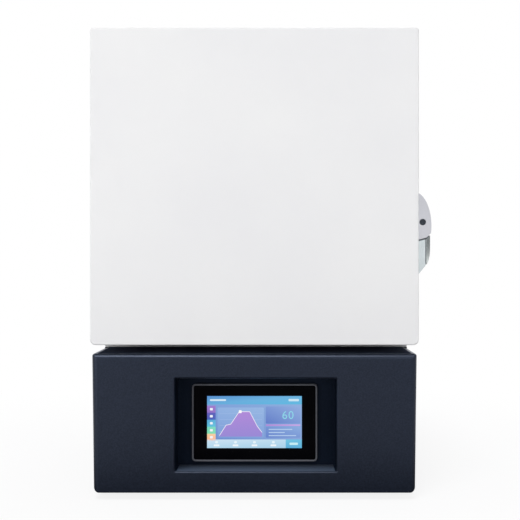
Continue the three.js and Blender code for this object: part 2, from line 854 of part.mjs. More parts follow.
function floorInsulation() {
  return block(shrunk(housingInside.x, seat), boardAlong, [housingInside.z[0] + seat, chamberFloor]);
}

function sideInsulation(side) {
  const across = [chamberHalf, housingInside.x[1] - seat].map((x) => side * x).sort((a, b) => a - b);
  return block(across, boardAlong, [chamberFloor + seat, chamberRoof - seat]);
}

function rearInsulation() {
  const board = block(
    centred(0, chamberWidth - 2 * seat),
    [chamberRear, boardsRear],
    [chamberFloor + seat, chamberRoof - seat],
  );
  const bore = rod('y', sheathRadius + seat, [chamberRear - overrun, boardsRear + overrun],
    [0, 0, thermocoupleZ], 12);
  return board.subtract(bore);
}

function roofInsulation() {
  const board = block(shrunk(housingInside.x, seat), boardAlong, [chamberRoof, roofTop]);
  const pockets = elementPlaces.map(({ x, y }) => block(
    grown(centred(x, brickWidth), seat),
    grown(centred(y, brickLength), seat),
    [chamberRoof - overrun, roofTop + overrun],
  ));
  return board.subtract(joined(pockets));
}

function hearth() {
  const across = centred(0, chamberWidth - 2 * hearthMargin);
  const along = [plugEnd + hearthMargin, chamberRear - hearthMargin];
  const low = chamberFloor + seat;
  return prism('z', roundedRectangle(across, along, hearthCorner), [low, low + hearthThickness]);
}

// Heating elements hang in the chamber in two pairs, each a U on the side wall
const elementY = elementDepthShares.map((share) => plugEnd + share * chamberDepth);
const elementX = chamberHalf - elementWallDistance;
const elementPlaces = [-1, 1].flatMap((side) => elementY.map((y) => ({ x: side * elementX, y })));
const brickLength = brickLengthShare * (elementY[1] - elementY[0]);
const brickTop = roofTop + seat + brickFlangeHeight;
const strapLow = brickTop + 2 * seat + elementCollar + strapRise;
const elementTop = strapLow + strapThickness + elementTip;
const thermocoupleZ = chamberCentre + sheathRise;

class HalfTurn extends THREE.Curve {
  constructor(radius, centre) {
    super();
    this.radius = radius;
    this.centre = centre;
  }

  getPoint(t, target = new THREE.Vector3()) {
    const angle = Math.PI * (1 + t);
    const { radius, centre } = this;
    return target.set(0, radius * Math.cos(angle), centre + radius * Math.sin(angle));
  }
}

function heatingElement() {
  const bendRadius = elementLegSpacing / 2;
  const bendCentre = chamberFloor + hearthThickness + elementFloorDistance + bendRadius;
  const coldLow = chamberRoof - elementColdDrop;
  const collarLow = brickTop + seat;
  const leg = [
    [0, bendCentre - seat], [elementHotRadius, bendCentre - seat], [elementHotRadius, coldLow - elementCone],
    [elementColdRadius, coldLow], [elementColdRadius, collarLow], [elementCollarRadius, collarLow],
    [elementCollarRadius, collarLow + elementCollar], [elementColdRadius, collarLow + elementCollar],
    [elementColdRadius, elementTop], [0, elementTop],
  ];
  const legs = [-bendRadius, bendRadius].map((y) => turned('z', leg, [0, y, 0], 8));
  const bend = solid(new THREE.ExtrudeGeometry(circle(0, 0, elementHotRadius), {
    steps: 7,
    curveSegments: 4,
    extrudePath: new HalfTurn(bendRadius, bendCentre),
  }));
  return joined([...legs, bend]);
}

// A fibre brick that plugs its pocket in the roof and rests on it by a flange
function elementBrick() {
  const plug = block(centred(0, brickWidth), centred(0, brickLength), [chamberRoof, roofTop + overrun]);
  const flange = block(
    grown(centred(0, brickWidth), brickFlange),
    grown(centred(0, brickLength), brickFlange),
    [roofTop + seat, brickTop],
  );
  const through = [chamberRoof - overrun, brickTop + overrun];
  const bores = [-1, 1].map((side) => rod('z', elementColdRadius + seat, through,
    [0, side * elementLegSpacing / 2, 0], 8));
  return plug.add(flange).subtract(joined(bores));
}

// A flat braided strap with an eye round a terminal at each end
function strap(from, to) {
  const run = to.clone().sub(from);
  const body = block([0, run.length()], centred(0, strapWidth), [strapLow, strapLow + strapThickness]);
  const eye = (x) => rod('z', strapEyeRadius, [strapLow, strapLow + strapThickness], [x, 0, 0], 12);
  const hole = (x) => rod('z', elementColdRadius + 2 * seat, [strapLow - overrun, elementTop], [x, 0, 0], 8);
  const ends = [0, run.length()];
  return joined([body, ...ends.map(eye)]).subtract(joined(ends.map(hole)))
    .rotate([0, 0, THREE.MathUtils.radToDeg(run.angle())])
    .translate([from.x, from.y, 0]);
}

// The thermocouple: a closed sheath through the rear board, carried by a stepped head
function thermocouple() {
  const head = housingRear + seat;
  return turned('y', [
    [0, chamberRear - sheathReach], [sheathTipShare * sheathRadius, chamberRear - sheathReach],
    [sheathRadius, chamberRear - sheathReach + (1 - sheathTipShare) * sheathRadius],
    [sheathRadius, boardsRear + sheathReach],
    [thermocoupleNeck, boardsRear + sheathReach], [thermocoupleNeck, head], [thermocoupleHeadRadius, head],
    [thermocoupleHeadRadius, head + thermocoupleHeadLength], [0, head + thermocoupleHeadLength],
  ], [0, 0, thermocoupleZ], 16);
}

// A shallow folded cover over the thermocouple and the leads on the rear panel
function rearCover() {
  const x = centred(0, rearCoverWidth);
  const z = [housingBottom + rearCoverLift, housingBottom + rearCoverLift + rearCoverHeight];
  const y = [housingRear + seat, baseDepth];
  const outside = prism('y', roundedRectangle(x, z, rearCoverCorner), y);
  const inside = block(shrunk(x, sheet), [y[0] - overrun, y[1] - sheet], shrunk(z, sheet));
  const vents = [-1, 1].map((side) => uprightSlots(
    centred(side * rearCoverWidth / 4, rearVentLength),
    grown([y[1] - sheet, y[1]], overrun),
    (z[0] + z[1]) / 2,
    rearVents,
    2 * ventPitch,
  ));
  return outside.subtract(inside).subtract(joined(vents));
}

// The door's sensor sits behind the front plate, its magnet on the door opposite
const sensorX = centred(sensorSideShare * housingHalf, sensorWidth);
const sensorZ = centred((roofTop + housingTop - sheet) / 2, sensorHeight);

function doorSensor() {
  const front = housingFront + frontPlate + seat;
  const body = block(sensorX, [front, front + sensorDepth], sensorZ);
  const foot = block(shrunk(sensorX, sensorWidth / 3), [front, front + sensorDepth / 2],
    [roofTop + seat, sensorZ[0] + overrun]);
  return body.add(foot);
}

function doorMagnet() {
  return block(sensorX, [doorThickness + seat, doorThickness + seat + magnetThickness], sensorZ);
}

// Door outline seen from the front, sharp above and rounded below
function doorOutline(inset) {
  return roundedRectangle(
    centred(0, 2 * (doorHalf - inset)),
    [doorBottom + inset, doorTop - inset],
    innerRadius(doorCornerRadius, inset),
    innerRadius(2 * foldRadius, inset),
  );
}

function doorShell() {
  const outside = prism('y', doorOutline(foldRadius), [foldRadius, doorThickness + overrun],
    { bevel: foldRadius });
  const beyond = block(centred(0, 4 * doorHalf), [doorThickness, 2 * doorThickness], [0, 2 * doorTop]);
  const inside = prism('y', doorOutline(sheet), [sheet, doorThickness + overrun]);
  return outside.subtract(beyond).subtract(inside);
}

function doorBackPlate() {
  const plate = prism('y', doorOutline(sheet + seat), [doorThickness - sheet, doorThickness]);
  const hole = prism('y', roundedRectangle(
    centred(0, chamberWidth - 2 * (plugClearance - seat)),
    shrunk([chamberFloor, chamberRoof], plugClearance - seat),
    plugCorner,
  ), [doorThickness - sheet - overrun, doorThickness + overrun]);
  return plate.subtract(hole);
}

function doorFilling() {
  return prism('y', doorOutline(sheet + seat), [sheet + seat, doorThickness - sheet - seat]);
}

// A fibre plug that narrows towards the chamber so it swings in without rubbing
function doorPlug() {
  const root = doorThickness - sheet;
  const outline = roundedRectangle(
    centred(0, chamberWidth - 2 * plugClearance),
    centred(0, chamberHeight - 2 * plugClearance),
    plugCorner,
  );
  const geometry = new THREE.ExtrudeGeometry(outline, {
    depth: plugEnd - root,
    bevelEnabled: false,
    curveSegments: 4,
  });
  geometry.rotateX(Math.PI / 2).translate(0, plugEnd, 0);
  const places = geometry.attributes.position;
  const tipShare = 1 - plugTaper / (chamberHalf - plugClearance);
  for (let i = 0; i < places.count; i++) {
    const share = THREE.MathUtils.mapLinear(places.getY(i), root, plugEnd, 1, tipShare);
    places.setXYZ(i, places.getX(i) * share, places.getY(i), places.getZ(i) * share);
  }
  return solid(geometry.translate(0, 0, chamberCentre));
}

function doorGasket() {
  const ring = (margin, corner, depth) => prism('y', roundedRectangle(
    grown([-chamberHalf, chamberHalf], margin),
    grown([chamberFloor, chamberRoof], margin),
    corner,
  ), depth);
  const along = [doorThickness + seat, housingFront - seat];
  return ring(gasketMargin + gasketWidth, gasketCorner, along)
    .subtract(ring(gasketMargin, innerRadius(gasketCorner, gasketWidth), grown(along, overrun)));
}

// A hinge about its own pin: one knuckle on the door's leaf between two on the housing's
const thirds = [0, 1, 2].map((i) => centred((i - 1) * hingeHeight / 3, hingeHeight / 3));

function hingeLeafBody(plate, neckSide, knuckles) {
  const wall = plate.x[1];
  const gap = knuckleRadius + seat;
  const parts = knuckles.flatMap((height) => [
    rod('z', knuckleRadius, height, [0, 0, 0], 20),
    block([0, wall], neckSide > 0 ? [0, gap + overrun] : [-gap - overrun, 0], height),
  ]);
  const bore = rod('z', hingePinRadius + seat, grown(centred(0, hingeHeight), overrun), [0, 0, 0], 16);
  return block(plate.x, plate.y, centred(0, hingeHeight)).add(joined(parts)).subtract(bore);
}

function housingHinge() {
  const wall = -housingHalf - seat - hingeAxisX;
  const start = knuckleRadius + seat;
  return hingeLeafBody({ x: [wall - hingeLeaf, wall], y: [start, start + hingeLeafWidth] }, 1,
    [[thirds[0][0], thirds[0][1] - seat / 2], [thirds[2][0] + seat / 2, thirds[2][1]]]);
}

function doorHinge() {
  const wall = -doorHalf - seat - hingeAxisX;
  const start = -knuckleRadius - seat;
  return hingeLeafBody({ x: [wall - hingeLeaf, wall], y: [start - hingeLeafWidth, start] }, -1,
    [[thirds[1][0] + seat / 2, thirds[1][1] - seat / 2]]);
}

function hingePin() {
  const top = hingeHeight / 2 + seat;
  return turned('z', [
    [0, -hingeHeight / 2], [hingePinRadius, -hingeHeight / 2], [hingePinRadius, top], [hingePinHead, top],
    [hingePinHead, top + hingePinHeadHeight], [0, top + hingePinHeadHeight],
  ], [0, 0, 0], 16);
}

// The latch, about its pin: X out from the door, Y back, Z up
const latchWall = -latchPinReach + seat;
const latchAlong = centred(0, latchWidth);
const latchY = doorThickness - latchInset - latchWidth / 2;
const leverAlong = shrunk(latchAlong, cheekThickness + seat);
const hookSpan = [-hookTop - hookHeight, -hookTop];
const tongueRear = housingFront + keeperSetback + keeperFlange + seat + hookLength - latchY;

const leverOuter = latchReach - latchPinReach - seat - leverSetIn;
const leverWebOuter = leverOuter - leverStrip - leverGroove;

// What lies above the cheeks' lower edge, which draws nearer to the pin the further out it gets,
// so that the lever's edge below it is clear of it on the whole swing
function aboveCheekEdge(drop) {
  const wallSide = -latchPinReach - overrun;
  return prism('y', polygon([
    [wallSide, latchDomeHeight],
    [wallSide, -cheekWallDrop - drop],
    [cheekBendReach, -cheekBendDrop - drop],
    [latchReach - latchPinReach, -cheekEndDrop - drop],
    [latchReach, -cheekEndDrop - drop],
    [latchReach, latchDomeHeight],
  ]), grown(latchAlong, overrun));
}

// Base plate and two domed cheeks
function latchBody() {
  const dome = new THREE.Shape();
  dome.absellipse(-latchPinReach, -latchDomeDrop, latchReach, latchDomeHeight, -Math.PI / 2, Math.PI / 2);
  dome.closePath();
  const rounded = prism('y', dome, latchAlong, { curve: 14 });
  const inside = block([latchWall + latchBasePlate, latchReach], shrunk(latchAlong, cheekThickness),
    centred(0, 2 * latchDomeHeight));
  const bore = rod('y', latchPinRadius + seat, grown(latchAlong, overrun), [0, 0, 0], 16);
  const wallSide = block([-2 * latchReach, latchWall], grown(latchAlong, overrun),
    centred(0, 3 * latchDomeHeight));
  return rounded.intersect(aboveCheekEdge(0)).subtract(inside).subtract(bore).subtract(wallSide);
}

// A grip as wide as the base with a groove on both sides, its neck and hub between the cheeks,
// and the hook that holds the keeper
function latchLever() {
  const stripInner = leverOuter - leverStrip;
  const webInner = latchWall + latchBasePlate + seat;
  const profile = new THREE.Shape();
  const tipX = leverTipReach - latchPinReach;
  const bendX = leverOuter - leverTipBlend / 2;
  const bend = -leverLength + leverTipRise;
  profile.moveTo(webInner, 0);
  profile.lineTo(webInner, -leverLength - (tipX - webInner) * leverTipRise / (bendX - tipX));
  profile.lineTo(bendX, bend);
  profile.quadraticCurveTo(leverOuter, bend + leverTipBlend, leverOuter, bend + 4 * leverTipBlend);
  profile.lineTo(leverOuter, 0);
  profile.closePath();
  const slab = prism('y', profile, latchAlong, { curve: 5 });
  const low = [-2 * leverLength, 0];
  const section = joined([
    block([stripInner, leverOuter + overrun], grown(latchAlong, overrun), low),
    block([leverWebOuter - overrun, stripInner + overrun], shrunk(latchAlong, leverGrooveDepth), low),
    block([webInner - overrun, leverWebOuter], grown(latchAlong, overrun), low),
  ]);
  const grip = slab.intersect(section).subtract(aboveCheekEdge(leverGap));
  const neck = block([webInner, leverWebOuter], leverAlong, [-cheekWallDrop - leverGap - overrun, 0]);
  const hub = rod('y', leverHubRadius, leverAlong, [0, 0, 0], 24);
  const bore = rod('y', latchPinRadius + seat, grown(latchAlong, overrun), [0, 0, 0], 16);
  const tongue = block([leverWebOuter - hookTongue, leverWebOuter], [0, tongueRear], hookSpan);
  const hook = block([webInner, leverWebOuter], [tongueRear - hookLength, tongueRear], hookSpan);
  return joined([grip, neck, hub, tongue, hook]).subtract(bore);
}

function latchPin() {
  return rod('y', latchPinRadius, grown(latchAlong, seat), [0, 0, 0], 16);
}

// The keeper on the housing: an upright flange that the hook holds, on a plate
function latchKeeper() {
  const wall = housingHalf + seat - latchPinX;
  const flangeFront = housingFront + keeperSetback - latchY;
  const tongueInner = leverWebOuter - hookTongue;
  const middle = (hookSpan[0] + hookSpan[1]) / 2;
  const plateFront = housingFront + seat - latchY;
  const plate = block([wall, wall + keeperPlate], [plateFront, plateFront + keeperPlateLength],
    centred(middle, keeperPlateHeight));
  const flange = block([wall, tongueInner - seat], [flangeFront, flangeFront + keeperFlange],
    centred(middle, 2 * hookHeight));
  return plate.add(flange);
}

// Put the furnace together
const furnace = new THREE.Group();
const latchOuter = doorHalf + latchReach;
const hingeOuter = knuckleRadius - hingeAxisX;
furnace.position.set((hingeOuter - latchOuter) / 2, -baseDepth / 2, 0);

const base = new THREE.Group();
furnace.add(base);
piece(base, 'base_shell', baseShell(), 'darkPowderCoat');
piece(base, 'base_tray', baseTray(), 'steel');
piece(base, 'base_rear_panel', baseRearPanel(), 'darkPowderCoat');
for (const [endName, y] of [['front', footY[0]], ['rear', footY[1]]]) {
  for (const [sideName, x] of [['left', -footX], ['right', footX]]) {
    piece(base, `foot_${endName}_${sideName}`, foot(), 'rubber').position.set(x, y, 0);
  }
}
piece(base, 'hmi_bezel', touchPanelBezel(), 'greyPlastic');
piece(base, 'hmi_screen', touchPanelGlass(), 'blackGlass');
piece(base, 'hmi_case', touchPanelCase(), 'blackPlastic');
piece(base, 'transformer', transformer(), 'copperWinding');
piece(base, 'heat_sink', heatSink(), 'aluminium');
piece(base, 'power_controller', powerController(), 'blackPlastic');
piece(base, 'control_board', controlBoard(), 'circuitBoard');
piece(base, 'breaker_body', breakerCase(), 'blackPlastic');
piece(base, 'breaker_toggle', breakerToggle(), 'greyPlastic').position.set(breakerX, toggleY, rearCentre);
piece(base, 'mains_inlet', mainsInlet(), 'blackPlastic');

const fan = new THREE.Group();
fan.position.set(fanX, fanFront + fanDepth / 2, rearCentre);
base.add(fan);
piece(fan, 'fan_frame', fanFrame(), 'blackPlastic');
piece(fan, 'fan_rotor', fanRotor(), 'blackPlastic');
piece(base, 'fan_guard', fanGuard(), 'chrome').position.set(fanX, 0, rearCentre);

const housing = new THREE.Group();
furnace.add(housing);
piece(housing, 'thermal_break_plate', breakPlate(), 'blackPlastic');
piece(housing, 'housing_shell', housingShell(), 'whitePowderCoat');
piece(housing, 'housing_front_plate', housingFrontPlate(), 'steel');
piece(housing, 'housing_rear_panel', housingRearPanel(), 'whitePowderCoat');
piece(housing, 'rear_cover', rearCover(), 'whitePowderCoat');
piece(housing, 'insulation_floor', floorInsulation(), 'fibre');
piece(housing, 'insulation_roof', roofInsulation(), 'fibre');
piece(housing, 'insulation_left', sideInsulation(-1), 'fibre');
piece(housing, 'insulation_right', sideInsulation(1), 'fibre');
piece(housing, 'insulation_rear', rearInsulation(), 'fibre');
piece(housing, 'hearth_plate', hearth(), 'alumina');
elementPlaces.forEach(({ x, y }, i) => {
  piece(housing, `heating_element_${i + 1}`, heatingElement(), 'silicide').position.set(x, y, 0);
  piece(housing, `element_holder_${i + 1}`, elementBrick(), 'alumina').position.set(x, y, 0);
});
const leg = elementLegSpacing / 2;
const [nearY, farY] = elementY;
const straps = [
  [new THREE.Vector2(-elementX, nearY + leg), new THREE.Vector2(-elementX, farY - leg)],
  [new THREE.Vector2(-elementX, farY + leg), new THREE.Vector2(elementX, farY + leg)],
  [new THREE.Vector2(elementX, nearY + leg), new THREE.Vector2(elementX, farY - leg)],
];
straps.forEach(([from, to], i) => piece(housing, `element_strap_${i + 1}`, strap(from, to), 'aluminium'));
piece(housing, 'thermocouple', thermocouple(), 'alumina');
piece(housing, 'door_sensor', doorSensor(), 'blackPlastic');

const door = new THREE.Group();
furnace.add(door);
piece(door, 'door_shell', doorShell(), 'whitePowderCoat');
piece(door, 'door_back_plate', doorBackPlate(), 'steel');
piece(door, 'door_insulation', doorFilling(), 'fibre');
piece(door, 'door_plug', doorPlug(), 'fibre');
piece(door, 'door_gasket', doorGasket(), 'fibre');
piece(door, 'door_magnet', doorMagnet(), 'steel');

const hingePlaces = [['upper', doorTop - hingeInset], ['lower', doorBottom + hingeInset]];
for (const [name, z] of hingePlaces) {
  const hinge = new THREE.Group();
  hinge.position.set(hingeAxisX, hingeAxisY, z);
  furnace.add(hinge);
  piece(hinge, `hinge_leaf_${name}`, housingHinge(), 'steel');
  piece(hinge, `hinge_pin_${name}`, hingePin(), 'steel');
  piece(hinge, `door_hinge_${name}`, doorHinge(), 'steel');
}

const latch = new THREE.Group();
latch.position.set(latchPinX, latchY, latchPinZ);
furnace.add(latch);
piece(latch, 'latch_base', latchBody(), 'chrome');
piece(latch, 'latch_pin', latchPin(), 'steel');
piece(latch, 'latch_lever', latchLever(), 'chrome');
piece(latch, 'latch_keeper', latchKeeper(), 'steel');

export default furnace;
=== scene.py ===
from math import cos, pi, radians, sin, sqrt

import bmesh
import bpy
from mathutils import Matrix, Vector


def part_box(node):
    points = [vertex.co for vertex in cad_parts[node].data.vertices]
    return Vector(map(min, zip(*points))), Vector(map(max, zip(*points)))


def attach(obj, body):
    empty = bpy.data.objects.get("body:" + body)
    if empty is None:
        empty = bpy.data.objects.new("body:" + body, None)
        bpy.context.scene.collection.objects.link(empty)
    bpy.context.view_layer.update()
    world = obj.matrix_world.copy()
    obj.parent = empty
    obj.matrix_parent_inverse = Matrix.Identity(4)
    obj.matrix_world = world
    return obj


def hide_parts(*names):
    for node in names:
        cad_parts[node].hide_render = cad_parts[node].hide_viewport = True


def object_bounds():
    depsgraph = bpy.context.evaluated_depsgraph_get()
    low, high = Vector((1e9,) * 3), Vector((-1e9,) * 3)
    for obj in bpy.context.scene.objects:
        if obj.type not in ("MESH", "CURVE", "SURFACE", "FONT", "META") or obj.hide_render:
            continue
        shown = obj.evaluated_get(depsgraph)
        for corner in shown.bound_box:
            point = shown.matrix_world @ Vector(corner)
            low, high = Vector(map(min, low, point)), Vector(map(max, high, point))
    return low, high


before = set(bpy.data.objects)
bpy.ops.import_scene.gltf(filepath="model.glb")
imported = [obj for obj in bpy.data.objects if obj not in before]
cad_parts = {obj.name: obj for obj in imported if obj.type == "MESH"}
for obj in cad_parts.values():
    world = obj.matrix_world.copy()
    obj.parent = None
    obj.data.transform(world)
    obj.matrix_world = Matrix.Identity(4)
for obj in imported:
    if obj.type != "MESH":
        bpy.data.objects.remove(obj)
cad_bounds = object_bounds()

# The view: the furnace is seen from a metre in front of its door, level with the foot of the
# heating chamber and a little right of the middle, as a catalogue picture is taken.
MM = 0.001
PICTURE = 520
PICTURE_WIDTH = 575.2 * MM
VIEW_DISTANCE = 1000 * MM
VIEW_RIGHT, VIEW_UP = 22.8 * MM, 87.6 * MM
SENSOR = 36
VANISHING_X, VANISHING_Y = 275, 266

scene = bpy.context.scene
scene.view_settings.view_transform = "Standard"


def linked(name, data):
    """A new object in the scene that holds a mesh, a curve, a lamp or the camera."""
    thing = bpy.data.objects.new(name, data)
    scene.collection.objects.link(thing)
    return thing


door_low, door_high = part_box("door_shell")
camera = linked("camera", bpy.data.cameras.new("camera"))
camera.data.sensor_fit = "HORIZONTAL"
camera.data.sensor_width = SENSOR
camera.data.lens = SENSOR * VIEW_DISTANCE / PICTURE_WIDTH
camera.data.shift_x = (PICTURE / 2 - VANISHING_X) / PICTURE
camera.data.shift_y = (VANISHING_Y - PICTURE / 2) / PICTURE
door_middle = (door_low.x + door_high.x) / 2
camera.location = (door_middle + VIEW_RIGHT, door_low.y - VIEW_DISTANCE, door_low.z + VIEW_UP)
camera.rotation_euler = (radians(90), 0, 0)
scene.camera = camera


# The studio: a paper floor that runs back into white light, two soft boxes in front, one behind
# and a broad soft lamp overhead. Polished metal also sees two dim side walls, which draw the
# edges of its curves, and a black card on the floor keeps light from the foot of the dark base.
def colour(hex_code):
    """An sRGB colour such as "#a0b4c8" as linear red, green, blue and alpha."""
    parts = [int(hex_code[i:i + 2], 16) / 255 for i in (1, 3, 5)]
    linear = [part / 12.92 if part <= 0.04045 else ((part + 0.055) / 1.055) ** 2.4 for part in parts]
    return (*linear, 1.0)


def add_node(tree, kind, inputs=None, **settings):
    """Adds a node with its settings. An input is a value, a socket, or a node for its first output."""
    node = tree.nodes.new(kind)
    for name, value in settings.items():
        setattr(node, name, value)
    for name, value in (inputs or {}).items():
        if isinstance(value, bpy.types.Node):
            value = value.outputs[0]
        if isinstance(value, bpy.types.NodeSocket):
            tree.links.new(value, node.inputs[name])
        else:
            node.inputs[name].default_value = value
    return node


def bare_tree(owner):
    owner.use_nodes = True
    owner.node_tree.nodes.clear()
    return owner.node_tree


scene.world = bpy.data.worlds.new("studio")
sky = bare_tree(scene.world)
rays = add_node(sky, "ShaderNodeLightPath").outputs
heading = add_node(sky, "ShaderNodeTexCoord").outputs
compass = add_node(sky, "ShaderNodeSeparateXYZ", {"Vector": heading["Generated"]})
sideways = add_node(sky, "ShaderNodeMath", {0: compass}, operation="ABSOLUTE")
side_wall = add_node(sky, "ShaderNodeMapRange", {
    "Value": sideways, "From Min": 0.72, "From Max": 0.86, "To Min": 0.9, "To Max": 0.16,
})
room = add_node(sky, "ShaderNodeBackground", {"Color": colour("#e6e9f2"), "Strength": side_wall})
daylight = add_node(sky, "ShaderNodeBackground", {"Color": colour("#ffffff"), "Strength": 0.4})
white = add_node(sky, "ShaderNodeBackground", {"Color": colour("#ffffff"), "Strength": 1.0})
lit = add_node(sky, "ShaderNodeMixShader", {0: rays["Is Glossy Ray"], 1: daylight, 2: room})
seen = add_node(sky, "ShaderNodeMixShader", {0: rays["Is Camera Ray"], 1: lit, 2: white})
add_node(sky, "ShaderNodeOutputWorld", {"Surface": seen})

floor_reach = 8.0
floor_mesh = bpy.data.meshes.new("floor")
floor_mesh.from_pydata(
    [(x * floor_reach, y * floor_reach, 0) for x, y in ((-1, -1), (1, -1), (1, 1), (-1, 1))],
    [], [(0, 1, 2, 3)],
)
floor = linked("floor", floor_mesh)
floor_paper = bpy.data.materials.new("white paper floor")
paper = bare_tree(floor_paper)
paper_rays = add_node(paper, "ShaderNodeLightPath").outputs
paper_place = add_node(paper, "ShaderNodeTexCoord").outputs
away = add_node(paper, "ShaderNodeVectorMath", {
    0: paper_place["Object"],
}, operation="LENGTH").outputs["Value"]
paper_far = add_node(paper, "ShaderNodeMapRange", {
    "Value": away, "From Min": 0.25, "From Max": 0.8, "To Min": 0.86, "To Max": 1.0,
}, interpolation_type="SMOOTHSTEP")
card_black = add_node(paper, "ShaderNodeBsdfDiffuse", {"Color": colour("#3a3a3c")})
paper_grey = add_node(paper, "ShaderNodeBsdfDiffuse", {"Color": colour("#e8e8ea")})
card_edge = add_node(paper, "ShaderNodeMapRange", {
    "Value": away, "From Min": 0.32, "From Max": 0.52,
}, interpolation_type="SMOOTHSTEP")
paper_bounce = add_node(paper, "ShaderNodeMixShader", {0: card_edge, 1: card_black, 2: paper_grey})
paper_white = add_node(paper, "ShaderNodeEmission", {"Strength": 1.0})
paper_seen = add_node(paper, "ShaderNodeMixShader", {0: paper_far, 1: paper_grey, 2: paper_white})
paper_both = add_node(paper, "ShaderNodeMixShader", {
    0: paper_rays["Is Camera Ray"], 1: paper_bounce, 2: paper_seen,
})
add_node(paper, "ShaderNodeOutputMaterial", {"Surface": paper_both})
floor_mesh.materials.append(floor_paper)

# Each soft box has its place and size in metres and its power in watts.
soft_boxes = {
    "key": ((-1.7, -2.2, 0.5), (1.6, 0.9), 16),
    "fill": ((1.0, -2.6, 1.3), (1.2, 1.2), 7.5),
    "back": ((0.6, 2.5, 1.7), (1.6, 1.6), 13),
}
aim = Vector((0, 0, (cad_bounds[0].z + cad_bounds[1].z) / 2))
for name, (place, size, power) in soft_boxes.items():
    lamp = linked(f"{name}_light", bpy.data.lights.new(name, "AREA"))
    lamp.data.shape = "RECTANGLE"
    lamp.data.size, lamp.data.size_y = size
    lamp.data.energy = power
    lamp.location = place
    lamp.rotation_euler = (Vector(place) - aim).to_track_quat("Z", "Y").to_euler()
overhead = linked("overhead_light", bpy.data.lights.new("overhead", "SUN"))
overhead.data.energy = 1.8
overhead.data.angle = radians(22)
overhead.rotation_euler = (radians(21), radians(-6), 0)


# Base casing: one folded and welded sheet steel housing, open below and behind, with a recess
# for the touch panel. Its powder coat is a fine dark texture that hides fingerprints. The recess
# is lined with a matt pocket whose darker colour is painted shade, and its floor carries a thin
# ledge whose colour is painted light: pale in front where light falls, dark towards the back.
def placed(point, along, axis):
    """A point of an outline drawn in the two other directions, at a place along an axis."""
    spot = list(point)
    spot.insert("xyz".index(axis), along)
    return spot


def mesh_object(name, bm):
    """A new object with its place in its mesh and its faces pointing out."""
    bmesh.ops.remove_doubles(bm, verts=bm.verts, dist=0.002 * MM)
    bmesh.ops.recalc_face_normals(bm, faces=bm.faces)
    mesh = bpy.data.meshes.new(name)
    bm.to_mesh(mesh)
    bm.free()
    return linked(name, mesh)


def skinned(bm, rings, closed=False):
    """Faces between rings of equally many points, and on both ends unless the last meets the first."""
    for low, high in zip(rings, rings[1:] + rings[:1] if closed else rings[1:]):
        for i in range(len(low)):
            bm.faces.new((low[i - 1], low[i], high[i], high[i - 1]))
    for end in () if closed else (rings[0], rings[-1]):
        bm.faces.new(end)


def lofted(name, layers, axis="y"):
    """A closed body through outlines that have equally many points: (outline, place) layers."""
    bm = bmesh.new()
    skinned(bm, [
        [bm.verts.new(placed(point, along, axis)) for point in outline] for outline, along in layers
    ])
    return mesh_object(name, bm)


def slab(name, outline, span, axis="y"):
    """A body of one outline between two places along an axis."""
    return lofted(name, [(outline, place) for place in span], axis)


def rounded(across, up, lower, upper=None, taper=0.0, steps=8):
    """A rectangle's outline with rounded lower and upper corners, and its foot narrowed."""
    upper = lower if upper is None else upper
    corners = [
        (across[1] - taper - lower, up[0] + lower, lower, -90),
        (across[1] - upper, up[1] - upper, upper, 0),
        (across[0] + upper, up[1] - upper, upper, 90),
        (across[0] + taper + lower, up[0] + lower, lower, 180),
    ]
    turns = [90 * i / steps for i in range(steps + 1)]
    return [
        (x + radius * cos(radians(start + turn)), z + radius * sin(radians(start + turn)))
        for x, z, radius, start in corners for turn in turns
    ]


edge_turns = [radians(90 * i / 8) for i in range(9)]


def rolled(outline, edge, end, inward):
    """Layers that draw an outline in towards a body's end, so that its edge is rounded."""
    return [(outline(edge * (1 - cos(turn))), end + inward * edge * (1 - sin(turn)))
            for turn in edge_turns[::-inward]]


def grown(span, by):
    return (span[0] - by, span[1] + by)


def centred(middle, width):
    return (middle - width / 2, middle + width / 2)


def sides(low, high, inset=0.0, axes="xz"):
    """The spans of a box in two directions, drawn in by an inset."""
    return [(getattr(low, axis) + inset, getattr(high, axis) - inset) for axis in axes]


def settled(piece):
    """Turns a piece's modifiers into plain mesh."""
    depsgraph = bpy.context.evaluated_depsgraph_get()
    mesh = bpy.data.meshes.new_from_object(
        piece.evaluated_get(depsgraph), preserve_all_data_layers=True, depsgraph=depsgraph,
    )
    piece.modifiers.clear()
    piece.data = mesh
    return piece


def worked(piece, tool, operation="DIFFERENCE"):
    """Cuts a tool's shape from a piece, or joins or keeps what they share, and puts the tool away."""
    modifier = piece.modifiers.new(operation, "BOOLEAN")
    modifier.operation = operation
    modifier.solver = "EXACT"
    modifier.object = tool
    settled(piece)
    bpy.data.objects.remove(tool)
    return piece


def softened(piece, radius, segments=3, corner=35):
    """Rounds a piece's sharp edges and shades it so that its flats stay flat."""
    piece.data.shade_smooth()
    bevel = piece.modifiers.new("edges", "BEVEL")
    bevel.width = radius
    bevel.segments = segments
    bevel.limit_method = "ANGLE"
    bevel.angle_limit = radians(corner)
    normals = piece.modifiers.new("normals", "WEIGHTED_NORMAL")
    normals.keep_sharp = True
    return settled(piece)


def fed(material, socket, source):
    """Leads a node's output to a socket of the material's shader."""
    material.node_tree.links.new(source, material.node_tree.nodes["Principled BSDF"].inputs[socket])


def grained(tree, grain, stretch, detail):
    """Noise of a real grain size on the piece's own coordinates, drawn out along an axis."""
    place = add_node(tree, "ShaderNodeTexCoord").outputs["Object"]
    drawn = add_node(tree, "ShaderNodeMapping", {"Vector": place, "Scale": stretch})
    return add_node(tree, "ShaderNodeTexNoise", {"Vector": drawn, "Scale": 1 / grain, "Detail": detail})


